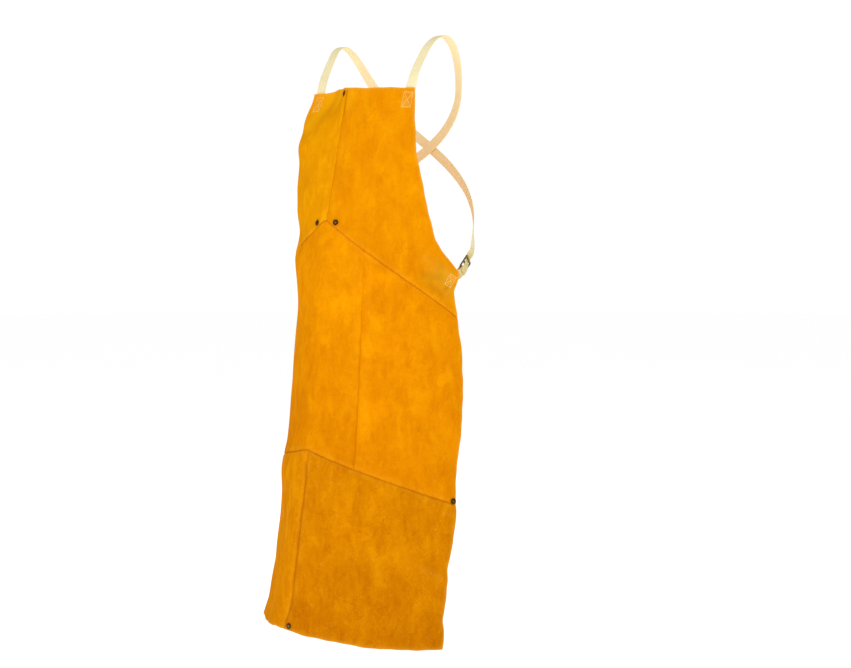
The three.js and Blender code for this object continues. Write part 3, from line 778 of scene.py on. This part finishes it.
def curve_points(stations, step):
    """Smooth chain through stations of position and outward direction, about one step apart."""
    at = np.array([p for p, _ in stations], float)
    out = np.array([o for _, o in stations], float)
    padded = np.concatenate([[2 * at[0] - at[1]], at, [2 * at[-1] - at[-2]]])
    chain = []
    for i in range(len(at) - 1):
        p0, p1, p2, p3 = padded[i:i + 4]
        d0, d1, d2 = (max(1e-4, np.linalg.norm(b - a)) ** 0.5 for a, b in ((p0, p1), (p1, p2), (p2, p3)))
        t1 = ((p1 - p0) / d0 - (p2 - p0) / (d0 + d1) + (p2 - p1) / d1) * d1
        t2 = ((p2 - p1) / d1 - (p3 - p1) / (d1 + d2) + (p3 - p2) / d2) * d1
        count = max(1, round(np.linalg.norm(p2 - p1) / step))
        for k in range(count):
            t = k / count
            chain.append((hermite(t, p1, p2, t1, t2), out[i] * (1 - t) + out[i + 1] * t))
    chain.append((at[-1], out[-1]))
    return chain


def webbing(name, chain):
    """Woven ribbon with rounded selvedges, with its length and width kept as weave coordinates."""
    at = np.array([p for p, _ in chain])
    out = np.array([o for _, o in chain])
    run = np.empty_like(at)
    run[1:-1] = at[2:] - at[:-2]
    run[0] = at[1] - at[0]
    run[-1] = at[-1] - at[-2]
    run = unit(run)
    across = unit(np.cross(run, out))
    rise = unit(np.cross(across, run))
    offsets = WEB_WIDTH / 2 * WEB_ACROSS
    thick = WEB / 2 * np.sqrt(np.clip(1 - np.abs(WEB_ACROSS) ** SELVEDGE.power, SELVEDGE.least, 1))
    inner = np.stack([offsets, -thick], -1)
    section = np.concatenate([inner, inner[::-1] * (1, -1)])
    rings = at[:, None] + section[None, :, :1] * across[:, None] + section[None, :, 1:] * rise[:, None]
    length = np.concatenate([[0], np.cumsum(np.linalg.norm(np.diff(at, axis=0), axis=1))])
    uv = np.stack(np.broadcast_arrays(length[:, None], section[None, :, 0]), -1).reshape(-1, 2) * MM
    points, faces = skin(rings)
    # Painted shade on the webbing low down, by the buckles
    darker_below = smoothstep(-points[:, 2], *WEB_PAINTED_SHADE)
    made = piece(name, points, faces, [WEBBING], fields={"darker_below": darker_below}, uv=uv, sharp=60)
    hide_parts(name)
    return made


def buckle_frame(side):
    """Centre, up and outward directions of a waist buckle. The side is 1 on the left and -1 on the right."""
    mirror = np.array([side, 1, 1], float)
    up = unit(np.array(BUCKLE_UP, float) * mirror)
    out = np.array(BUCKLE_FACE, float) * mirror
    out = unit(out - up * (out @ up))
    return np.array(BUCKLE_CENTRE, float) * mirror, up, out


def strap(name, side, place, stations):
    deep = SEWN + WEB / 2
    chain = []
    for shift, z, deeper in STRAP_SEWN:
        s = side * (place + shift)
        chain.append((behind(s, z, deep + deeper), outward(s, z)))
    chain += stations
    centre, up, out = buckle_frame(-side)
    chain += [(centre + rise * up + lift * out, out) for rise, lift in STRAP_THREAD]
    return webbing(name, curve_points(chain, STRAP_STEP))


def waist_tab(name, side):
    """Loop sewn behind the waist corner and round the buckle's lower bar."""
    centre, up, out = buckle_frame(side)
    stations = []
    for (s, z), deeper in ((TAB_LOW, 0), (TAB_HIGH, TAB_DEEPER)):
        deep = SEWN + WEB + CLEAR / 2 + deeper
        stations.append((behind(side * s, z, deep), outward(side * s, z)))
    stations += [(centre + rise * up, out) for rise in (TAB_NECK, TAB_THROAT)]
    leg = curve_points(stations, TAB_STEP)
    half = BUCKLE.thick / 2
    bend = CLEAR + WEB / 2
    last = len(leg) - 1
    grow = smoothstep(np.arange(len(leg)), last - TAB_PARTING, last)
    spread = (WEB + CLEAR) / 2 * (1 - grow) + (half + bend) * grow
    outer = [(p + unit(o) * w, o) for (p, o), w in zip(leg, spread)]
    inner = [(p - unit(o) * w, -o) for (p, o), w in zip(leg, spread)]
    bar_top = -BUCKLE.height / 2 + BUCKLE.bar
    rounding = []
    for way in (1, -1):
        for angle in np.radians(TAB_TURN[::way]):
            lean = way * math.cos(angle)
            rise = math.sin(angle)
            at = centre + (bar_top + bend * rise) * up + (way * half + bend * lean) * out
            rounding.append((at, lean * out + rise * up))
    return webbing(name, [*outer, *rounding, *inner[::-1]])


# Metal


def lathe(profile, segments=40):
    """Closed turned form from a profile of radius and height, which starts and ends on the axis."""
    angle = math.tau * np.arange(segments) / segments
    points = []
    for radius, rise in profile[1:-1]:
        points += [(radius * math.cos(a), radius * math.sin(a), rise) for a in angle]
    low = len(points)
    points += [(0, 0, profile[0][1]), (0, 0, profile[-1][1])]
    faces = []
    rings = len(profile) - 2
    for k in range(segments):
        n = (k + 1) % segments
        faces.append([low, n, k])
        for r in range(rings - 1):
            faces.append([r * segments + k, r * segments + n, (r + 1) * segments + n, (r + 1) * segments + k])
        faces.append([(rings - 1) * segments + k, (rings - 1) * segments + n, low + 1])
    return points, faces


def metal(name, centre, basis, points, faces, brass, worn, sharp):
    """A metal piece, given along its own axes, with the places where it is worn bright."""
    points = centre + points @ basis
    made = piece(name, points, faces, [brass], fields={"worn": worn}, sharp=sharp)
    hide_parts(name)
    return made


def rivet(name, s, z, lean, rubbed):
    """Cap on the hide and back behind its lap. The cap lies flat on the hide a lean to the side."""
    axis = outward(s + lean, z)
    across = unit(np.cross((0, 0, 1), axis))
    basis = np.stack([across, np.cross(axis, across), axis])
    points, faces = join([lathe(CAP), lathe([(r, h - LAP - HIDE) for r, h in BACK])])
    worn = rubbed * ((np.hypot(points[:, 0], points[:, 1]) < BOSS) & (points[:, 2] > 0))
    return metal(name, face(s, z), basis, points, faces, RIVET_BRASS, worn, 40)


def rounded_path(width, height, corner, steps=6):
    """Points round a rectangle with round corners, and the directions out of it."""
    points = []
    out = []
    for quarter, signs in enumerate(((1, 1), (-1, 1), (-1, -1), (1, -1))):
        angle = math.pi / 2 * (quarter + np.arange(steps + 1) / steps)
        away = np.stack([np.cos(angle), np.sin(angle)], -1)
        points.append(np.array(signs) * (width / 2 - corner, height / 2 - corner) + corner * away)
        out.append(away)
    return np.concatenate(points), np.concatenate(out)


def buckle(name, side):
    """Slide buckle: a cast frame of rounded bars with a rounded bar across its middle."""
    centre, up, out = buckle_frame(side)
    basis = np.stack([np.cross(up, out), up, out])
    thick = BUCKLE.thick / 2
    angle = math.tau * np.arange(BAR_SIDES) / BAR_SIDES
    section = np.stack([np.cos(angle), np.sin(angle)], -1)
    section = np.sign(section) * np.abs(section) ** BAR_POWER
    path, away = rounded_path(BUCKLE.width, BUCKLE.height, BUCKLE.corner)
    bars = []
    for at, n in zip(path[::-1], away[::-1]):
        deep = BUCKLE.side * n[0] ** 2 + BUCKLE.bar * n[1] ** 2
        bars.append([(*(at - n * deep / 2 * (1 - c)), d * thick) for c, d in section])
    reach = BUCKLE.width / 2 - BUCKLE.side * MIDDLE_BAR.into_side
    middle = []
    for x in np.linspace(-reach, reach, MIDDLE_BAR.rings):
        middle.append([(x, c * BUCKLE.bar / 2, d * thick * MIDDLE_BAR.thick) for c, d in section])
    points, faces = join([skin(np.array(bars), closed=True), skin(np.array(middle))])
    worn = smoothstep(np.abs(points[:, 2]), BAR_RUB * thick, thick)
    return metal(name, centre, basis, points, faces, BUCKLE_BRASS, worn, 35)


# Shader nodes


def tint(red, green, blue):
    """A linear colour from its screen values."""
    shares = [v / 255 for v in (red, green, blue)]
    linear = [v / 12.92 if v <= 0.04045 else ((v + 0.055) / 1.055) ** 2.4 for v in shares]
    return (*linear, 1)


class Look:
    """The node tree of a material or a world, with short calls for the nodes that it needs."""

    def __init__(self, owner):
        owner.use_nodes = True
        self.owner = owner
        self.tree = owner.node_tree

    def set_inputs(self, node, inputs):
        for key, value in inputs.items():
            if isinstance(value, bpy.types.NodeSocket):
                self.tree.links.new(value, node.inputs[key])
            else:
                node.inputs[key].default_value = value

    def finished(self, inputs, node="Principled BSDF"):
        """Sets the sockets of the main node and gives back what the tree belongs to."""
        self.set_inputs(self.tree.nodes[node], inputs)
        return self.owner

    def add(self, kind, output=0, inputs=None, **settings):
        """One output of a new node."""
        made = self.tree.nodes.new("ShaderNode" + kind)
        for key, value in settings.items():
            setattr(made, key, value)
        self.set_inputs(made, inputs or {})
        return made.outputs[output]

    def field(self, name):
        return self.add("Attribute", "Fac", attribute_name=name)

    def placed(self, offset, drawn=1, turn=0):
        """Object coordinates, moved so that no two hides share markings, drawn out along a turned axis."""
        inputs = {"Vector": self.add("TexCoord", "Object"), "Location": offset}
        inputs = {**inputs, "Rotation": (0, turn, 0), "Scale": (1, 1, drawn)}
        return self.add("Mapping", 0, inputs, vector_type="TEXTURE")

    def noise(self, vector, scale, detail=3, roughness=0.55, swirl=0, output="Fac"):
        inputs = {"Vector": vector, "Scale": scale, "Detail": detail, "Roughness": roughness}
        return self.add("TexNoise", output, {**inputs, "Distortion": swirl})

    def ranged(self, value, low, high, start=0.0, end=1.0):
        inputs = {"Value": value, "From Min": low, "From Max": high, "To Min": start, "To Max": end}
        return self.add("MapRange", "Result", inputs, interpolation_type="SMOOTHSTEP")

    def math(self, operation, first, second=0.5):
        return self.add("Math", 0, {0: first, 1: second}, operation=operation)

    def times(self, first, second):
        return self.math("MULTIPLY", first, second)

    def mixed(self, share, first, second, blend="MIX"):
        inputs = {0: share, 6: first, 7: second}
        return self.add("Mix", 2, inputs, data_type="RGBA", blend_type=blend)

    def bumped(self, layers):
        """Surface direction over layers of a height, its size in metres and its strength."""
        inputs = {}
        for height, distance, strength in layers:
            inputs.update({"Height": height, "Distance": distance, "Strength": strength})
            inputs["Normal"] = self.add("Bump", "Normal", inputs)
        return inputs["Normal"]


def new_look(name):
    return Look(bpy.data.materials.new(name))


# Split hide: clouded dye, mottling, short nap, fine crinkles, dark flecks and pale scuffs

FLECK = tint(158, 84, 2)
OCHRE = tint(214, 148, 6)
# Painted light that brightens the bibs' shaded upper parts
PAINTED_LIGHT = tint(255, 178, 12)
# Dark seam colour: painted shade along seams and in creases, and the colour of stains
STAIN_AND_SHADE = tint(156, 70, 0)
# Pale scuff colour, also used for painted highlight on ridges
SCUFF_AND_HIGHLIGHT = tint(250, 190, 66)
# Multiplier that makes the hide darker towards the bottom
LOW_DARKENING = (0.88, 0.82, 0.8, 1)
DUSTY = tint(226, 158, 52)

# Each panel's dye, its place in the markings, and how clouded and how gritty it is
HIDE_LOOKS = named("base deep light offset soil grit", {
    "bib_panel_left": ((236, 145, 1), (219, 126, 1), (246, 160, 3), (0, 0, 0), 0.35, 0.4),
    "bib_panel_right": ((242, 158, 1), (224, 138, 1), (250, 171, 4), (1.3, 0.4, 0.7), 0.35, 0.4),
    "body_panel_left": ((240, 146, 1), (218, 124, 1), (247, 160, 3), (2.1, 1.7, 0.2), 0.5, 0.5),
    "body_panel_right": ((243, 151, 1), (220, 127, 1), (250, 164, 3), (3.4, 0.9, 1.6), 0.45, 0.5),
    "skirt_panel_left": ((219, 133, 1), (196, 109, 1), (233, 152, 4), (4.6, 2.3, 0.5), 0.42, 0.85),
    "skirt_panel_right": ((233, 145, 1), (209, 119, 1), (244, 162, 4), (5.2, 1.1, 2.4), 0.5, 0.8),
})

# Patterns in the hide: their noise, and how far and along which turned axis they are drawn out
PATTERNS = named("scale detail roughness swirl drawn turn", {
    "patch": (4, 2, 0.55, 0, 1, 0),
    "cloud": (13, 3, 0.6, 0.5, 1, 0),
    "mottle": (34, 4, 0.55, 0.7, 1.8, 0),
    "grain": (120, 4, 0.6, 1, 1, 0),
    "streak": (110, 4, 0.6, 0, 4, 0),
    "nap": (420, 3, 0.6, 0, 1, 0),
    "fleck": (260, 2, 0.5, 0, 1, 0),
    "scuff": (60, 6, 0.7, 0, 1, 0),
    "leaning": (300, 1, 0.5, 0.4, 12, 0.9),
    "crossing": (260, 1, 0.5, 0.4, 9, -0.6),
})

# Colours laid over the dye in turn: a pattern, the values between which its colour comes in, and the
# share that it reaches, as an even part and parts for the panel's soil and grit
LAYERS = named("pattern none full even soil grit paint", [
    ("patch", 0.4, 0.62, 0, 0.5, 0, "deep"),
    ("cloud", 0.4, 0.66, 0, 1.3, 0, "deep"),
    ("mottle", 0.48, 0.7, 0.5, 0.3, 0, "deep"),
    ("mottle", 0.5, 0.28, 0.8, 0, 0, "light"),
    ("grain", 0.5, 0.72, 0.45, 0, 0, "deep"),
    ("grain", 0.48, 0.3, 0.4, 0, 0, "light"),
    ("streak", 0.7, 0.35, 0.3, 0, 0, "light"),
    ("nap", 0.4, 0.75, 0.12, 0, 0.35, "deep"),
    ("fleck", 0.65, 0.75, 0, 0, 0.45, "fleck"),
    ("scuff", 0.66, 0.8, 0.25, 0, 0, "scuff"),
    ("scratch", 0.69, 0.78, 0, 0, 0.22, "scuff"),
])
# Fine crinkles: how far their net sways, how thin its lines are, where it is broken and how much it shows
CRINKLE = Sizes(scale=26, sway=1.1, thin=0.035, broken=(0.46, 0.62), dark=0.22, bump=0.5)


def crinkles(look, place):
    """A broken net of thin lines, one on a line and nothing between them."""
    scale = CRINKLE.scale
    sway = look.noise(place, 1.5 * scale, 3, 0.5, output="Color")
    swayed = look.add("VectorMath", 0, {0: sway, "Scale": CRINKLE.sway / scale}, operation="SCALE")
    moved = look.add("VectorMath", 0, {0: place, 1: swayed}, operation="ADD")
    inputs = {"Vector": moved, "Scale": scale}
    cells = look.add("TexVoronoi", "Distance", inputs, feature="DISTANCE_TO_EDGE")
    broken = look.ranged(look.noise(place, 0.9 * scale, 2), *CRINKLE.broken)
    return look.times(look.ranged(cells, 0.0, CRINKLE.thin, 1, 0), broken)


def hide_material(name, base, deep, light, offset, soil, grit):
    look = new_look(name)
    pattern = {}
    for label, row in PATTERNS.items():
        place = look.placed(offset, row.drawn, row.turn)
        pattern[label] = look.noise(place, row.scale, row.detail, row.roughness, row.swirl)
    pattern["scratch"] = look.math("MAXIMUM", pattern["leaning"], pattern["crossing"])
    crinkle = crinkles(look, look.placed(offset))
    paints = {"deep": tint(*deep), "light": tint(*light), "fleck": FLECK, "scuff": SCUFF_AND_HIGHLIGHT}
    colour = tint(*base)
    for row in LAYERS:
        reached = row.even + row.soil * soil + row.grit * grit
        share = look.ranged(pattern[row.pattern], row.none, row.full, 0, reached)
        colour = look.mixed(share, colour, paints[row.paint])
    colour = look.mixed(look.times(crinkle, CRINKLE.dark * grit), colour, FLECK)

    # Marks that the mesh carries: how far each shows, and its colour
    marks = [
        ("ochre", look.ranged(pattern["mottle"], 0.3, 0.6, 0.4, 0.9), OCHRE, "MIX"),
        # Painted light on the bibs' shaded upper parts
        ("faded", 0.75, PAINTED_LIGHT, "MIX"),
        # Darker towards the bottom
        ("low", 1, LOW_DARKENING, "MULTIPLY"),
        ("inside", 0.35, DUSTY, "MIX"),
        ("rub", look.ranged(pattern["grain"], 0.35, 0.65, 0.08, 0.4), SCUFF_AND_HIGHLIGHT, "MIX"),
        # Pale cut edges and scuffs, with painted highlight on seam ridges and raised creases
        ("wear_and_highlight", 0.4, SCUFF_AND_HIGHLIGHT, "MIX"),
        # Painted shade along seams and in creases, with stains and darker rings round the rivet caps
        ("seam", 0.6, STAIN_AND_SHADE, "MIX"),
    ]
    for mark, share, paint, blend in marks:
        colour = look.mixed(look.times(look.field(mark), share), colour, paint, blend)
    heights = [
        (pattern["mottle"], 0.0012, 0.35),
        (crinkle, -0.0008, CRINKLE.bump * grit),
        (pattern["streak"], 0.0004, 0.4),
        (pattern["nap"], 0.0003, 0.45),
    ]
    return look.finished({
        "Base Color": colour,
        "Roughness": look.ranged(pattern["mottle"], 0.3, 0.7, 0.88, 1),
        "Normal": look.bumped(heights),
        "Specular IOR Level": 0.005,
        "Sheen Weight": 0.015,
        "Sheen Roughness": 0.5,
        "Sheen Tint": tint(255, 176, 30),
    })


def rim_material(name, base, offset):
    """Cut edge of the hide: pale, with its fibres showing."""
    look = new_look(name)
    place = look.placed(offset)
    fibre = look.noise(place, 900, 4, 0.65)
    patch = look.noise(place, 70, 3)
    colour = look.mixed(look.ranged(fibre, 0.35, 0.7, 0, 0.6), SCUFF_AND_HIGHLIGHT, base)
    return look.finished({
        "Base Color": look.mixed(look.ranged(patch, 0.4, 0.65, 0, 0.5), colour, base),
        "Roughness": look.ranged(fibre, 0.3, 0.7, 0.85, 1),
        "Normal": look.bumped([(fibre, 0.0003, 0.7)]),
        "Specular IOR Level": 0.05,
    })


# Webbing, thread and brass

# Spacing of the weave's cords across the webbing and of its picks along it, and where its selvedge starts
WEAVE = Sizes(cord=1.6 * MM, pick=2.1 * MM, selvedge=(8.8 * MM, 9.6 * MM))


def webbing_material():
    """Cream cotton webbing: warp cords along the length, crossed by staggered picks."""
    look = new_look("cream_webbing")
    place = {"Vector": look.add("UVMap", "UV", uv_map="weave")}
    length, across = (look.add("SeparateXYZ", axis, place) for axis in "XY")
    cord_place = look.math("DIVIDE", across, WEAVE.cord)
    cord = look.math("PINGPONG", cord_place, 0.5)
    odd_row = look.math("MODULO", look.math("FLOOR", cord_place), 2.0)
    along_web = look.math("DIVIDE", length, WEAVE.pick)
    pick = look.math("PINGPONG", look.math("ADD", along_web, look.times(odd_row, 0.5)), 0.5)
    weave = look.times(look.ranged(cord, 0.0, 0.32), look.ranged(pick, 0.0, 0.3, 0.35, 1))
    place = look.placed((0.3, 0.1, 0.7))
    fuzz = look.noise(place, 1300, 3, 0.6)
    grime = look.noise(place, 45, 4, 0.6)
    selvedge = look.ranged(look.math("ABSOLUTE", across), *WEAVE.selvedge)
    darker_below = look.times(look.field("darker_below"), look.ranged(grime, 0.3, 0.7, 0.45, 0.85))
    layers = [
        (look.ranged(weave, 0.0, 0.9), tint(255, 247, 206)),
        (look.ranged(grime, 0.5, 0.75, 0, 0.35), tint(248, 233, 172)),
        (look.ranged(fuzz, 0.45, 0.75, 0, 0.2), tint(252, 238, 178)),
        (look.times(selvedge, 0.3), tint(244, 226, 160)),
        # Painted shade on the webbing by the buckles, broken up by the grime noise
        (darker_below, tint(206, 182, 104)),
    ]
    colour = tint(252, 230, 170)
    for share, paint in layers:
        colour = look.mixed(share, colour, paint)
    return look.finished({
        "Base Color": colour,
        "Roughness": look.ranged(weave, 0, 1, 0.95, 0.78),
        "Normal": look.bumped([(weave, 0.0005, 0.4), (fuzz, 0.0002, 0.4)]),
        "Specular IOR Level": 0.15,
        "Sheen Weight": 0.15,
        "Sheen Tint": tint(255, 240, 190),
    })


def thread_material():
    """Pale yellow sewing thread."""
    look = new_look("pale_thread")
    twist = look.noise(look.placed((0.9, 0.2, 0.4)), 1500, 2)
    return look.finished({
        "Base Color": look.mixed(look.ranged(twist, 0.35, 0.7), tint(254, 208, 104), tint(244, 182, 70)),
        "Roughness": look.ranged(twist, 0.3, 0.7, 0.6, 0.8),
        "Normal": look.bumped([(twist, 0.0002, 0.6)]),
        "Specular IOR Level": 0.25,
    })


def brass_material(name, bright, dark, rubbed):
    """Antique brass: dark patina, worn to brighter metal where it is rubbed."""
    look = new_look(name)
    place = look.placed((0.5, 0.6, 0.1))
    patina = look.noise(place, 260, 5, 0.65)
    pits = look.noise(place, 1400, 3)
    worn = look.times(look.field("worn"), look.ranged(patina, 0.25, 0.6, 1, 0.55))
    colour = look.mixed(look.ranged(patina, 0.35, 0.65), bright, dark)
    return look.finished({
        "Base Color": look.mixed(worn, colour, rubbed),
        "Roughness": look.ranged(patina, 0.3, 0.7, 0.3, 0.5),
        "Normal": look.bumped([(patina, 0.0002, 0.25), (pits, 0.0001, 0.3)]),
        "Metallic": 1.0,
    })


WEBBING = webbing_material()
THREAD = thread_material()
RIVET_BRASS = brass_material("rivet_brass", tint(92, 60, 16), tint(48, 30, 6), tint(140, 126, 92))
BUCKLE_BRASS = brass_material("buckle_brass", tint(122, 104, 34), tint(56, 46, 20), tint(172, 152, 66))

# The six panels: their pattern lines, how each edge is finished, how far their laps stop from the ends,
# their usual size and grid step, between which depths they grow darker, and the rectangle in metres that
# they are cut from with their flat area
PEAK_CURVE = eased_line(PEAK_RIGHT, 0, 6)[0]
SKIRT_CURVE = eased_line(SKIRT_SEAM, 1, 10)[0]
PEAK_LINE = [PEAK, PEAK_LEFT_END]
MID_LINE = [MID_TOP, MID_END]
RIDGE = PEAK_RIGHT_END[0] / (PEAK_RIGHT_END[0] - MID_TOP[0])
PANELS = {
    "bib_panel_left": {
        "top": cut(TOP_LEFT, 0, 1.2), "bottom": Edge("over", "peak", PEAK_LINE),
        "left": Edge("under", "bib", [TOP_LEFT[0], PEAK]), "right": cut(ARMHOLE_LEFT, 1, 0.3, 2.5),
        "lap_side": (0, 17.2), "size": (215, 330), "step": 3.5, "darker_below": (350, 900),
        "flat": (0.305, 0.45), "area": 0.0677, "rests_on": ["strap_left", "waist_tab_left"],
    },
    "bib_panel_right": {
        "top": cut(TOP_RIGHT, 0, 2.7), "bottom": Edge("over", "peak", PEAK_CURVE),
        "left": cut(ARMHOLE_RIGHT, 1, 1.9, 2.5), "right": Edge("over", "bib", [TOP_RIGHT[-1], PEAK]),
        "size": (215, 330), "step": 3.5, "darker_below": (350, 900),
        "flat": (0.29, 0.44), "area": 0.0578, "rests_on": ["strap_right", "waist_tab_right"],
    },
    "body_panel_left": {
        "top": Edge("under", "peak", [MID_TOP, PEAK_LEFT_END]),
        "bottom": Edge("over", "low", [MID_END, LOW_LEFT_END]),
        "left": Edge("under", "mid", MID_LINE), "right": cut(SIDE_LEFT, 1, 2.8),
        "lap_top": (2, 6), "lap_side": (7, 17.2), "size": (220, 385), "step": 4, "darker_below": (560, 1300),
        "flat": (0.24, 0.52), "area": 0.086, "rests_on": ["bib_panel_left"],
    },
    "body_panel_right": {
        "top": Edge("under", "peak", [*PEAK_CURVE, MID_TOP]),
        "bottom": Edge("over", "low", [LOW_RIGHT_END, LOW, MID_END]),
        "left": cut(SIDE_RIGHT, 1, 4.1), "right": Edge("over", "mid", MID_LINE),
        "lap_top": (6, 2), "size": (400, 400), "step": 4, "stops": [RIDGE], "darker_below": (480, 860),
        "flat": (0.405, 0.52), "area": 0.159, "rests_on": ["bib_panel_left", "bib_panel_right"],
    },
    "skirt_panel_left": {
        "top": Edge("under", "low", [LOW, LOW_LEFT_END]), "bottom": cut(HEM_LEFT, 0, 3.3),
        "left": Edge("over", "skirt", SKIRT_CURVE), "right": cut(SKIRT_LEFT, 1, 0.9),
        "lap_top": (2, 1.5), "size": (310, 320), "step": 3.5, "darker_below": (900, 1250),
        "flat": (0.33, 0.41), "area": 0.105, "rests_on": ["body_panel_left", "body_panel_right"],
    },
    "skirt_panel_right": {
        "top": Edge("under", "low", [LOW_RIGHT_END, LOW]), "bottom": cut(HEM_RIGHT, 0, 0.5),
        "left": cut(SKIRT_RIGHT, 1, 5.3), "right": Edge("under", "skirt", SKIRT_CURVE),
        "lap_top": (6, 2), "lap_side": (7, 1), "size": (305, 340), "step": 3.5, "darker_below": (950, 1400),
        "flat": (0.31, 0.41), "area": 0.106, "rests_on": ["body_panel_right"],
    },
}
for name, panel in PANELS.items():
    dye = HIDE_LOOKS[name]
    paints = [hide_material(name, *dye), rim_material(name + "_rim", tint(*dye.base), dye.offset)]
    hide_panel(name, panel, paints)

# Straps, tabs, buckles and rivets
strap("strap_left", 1, STRAP_PLACE.left, STRAP_LEFT)
strap("strap_right", -1, STRAP_PLACE.right, STRAP_RIGHT)
for side, where in ((1, "left"), (-1, "right")):
    waist_tab("waist_tab_" + where, side)
    buckle("buckle_" + where, side)
for name, row in RIVETS.items():
    rivet(name, *row)

# Boxed stitching, on the outer face and on the webbing behind the bib's corners
for name, box in BOXES.items():
    stitching(name, box, STITCH.outside)
    if "bib" in name:
        stitching(name + "_inside", box, STITCH.inside)

# Studio in metres: pale floor, white surround, brighter where the camera sees it, and soft lights
WHITE = (1, 1, 1, 1)
FLOOR = Sizes(height=-1.45, radius=14, sides=64, glow=0.5)
SURROUND = Sizes(light=0.515, seen=1.02)
LIGHT_TARGET = (0, -0.1, -0.6)
LIGHTS = named("place size power", {
    "key": ((2.2, -3.1, 1.1), 2.6, 57),
    "fill": ((-2.0, -3.2, 0.4), 2.6, 8),
    "back": ((-0.6, 3.4, 1.2), 2.6, 30),
})


def floor_material():
    look = new_look("pale_floor")
    soft = look.noise(look.placed((0, 0, 0)), 3, 2)
    return look.finished({
        "Base Color": look.mixed(soft, (0.94, 0.94, 0.94, 1), (0.96, 0.96, 0.96, 1)),
        "Roughness": 0.9,
        "Specular IOR Level": 0.1,
        "Emission Color": WHITE,
        "Emission Strength": FLOOR.glow,
    })


floor_mesh = bpy.data.meshes.new("floor")
turns = np.linspace(0, math.tau, FLOOR.sides, endpoint=False)
rim = [(FLOOR.radius * math.cos(a), FLOOR.radius * math.sin(a), FLOOR.height) for a in turns]
floor_mesh.from_pydata(rim, [], [list(range(FLOOR.sides))])
floor_mesh.materials.append(floor_material())
floor = bpy.data.objects.new("floor", floor_mesh)
bpy.context.collection.objects.link(floor)

sky = Look(bpy.data.worlds.new("studio"))
bpy.context.scene.world = sky.owner
lit = sky.tree.nodes["Background"]
sky.set_inputs(lit, {"Color": WHITE, "Strength": SURROUND.light})
seen = sky.add("Background", 0, {"Color": WHITE, "Strength": SURROUND.seen})
for_camera = sky.add("LightPath", "Is Camera Ray")
choice = sky.add("MixShader", 0, {0: for_camera, 1: lit.outputs[0], 2: seen})
sky.finished({"Surface": choice}, "World Output")

for name, row in LIGHTS.items():
    data = bpy.data.lights.new(name, "AREA")
    data.size = row.size
    data.energy = row.power
    light = bpy.data.objects.new(name, data)
    light.location = row.place
    aim = Vector(LIGHT_TARGET) - Vector(row.place)
    light.rotation_euler = aim.to_track_quat("-Z", "Y").to_euler()
    light.visible_camera = False
    bpy.context.collection.objects.link(light)
bpy.context.scene.view_settings.view_transform = "Standard"
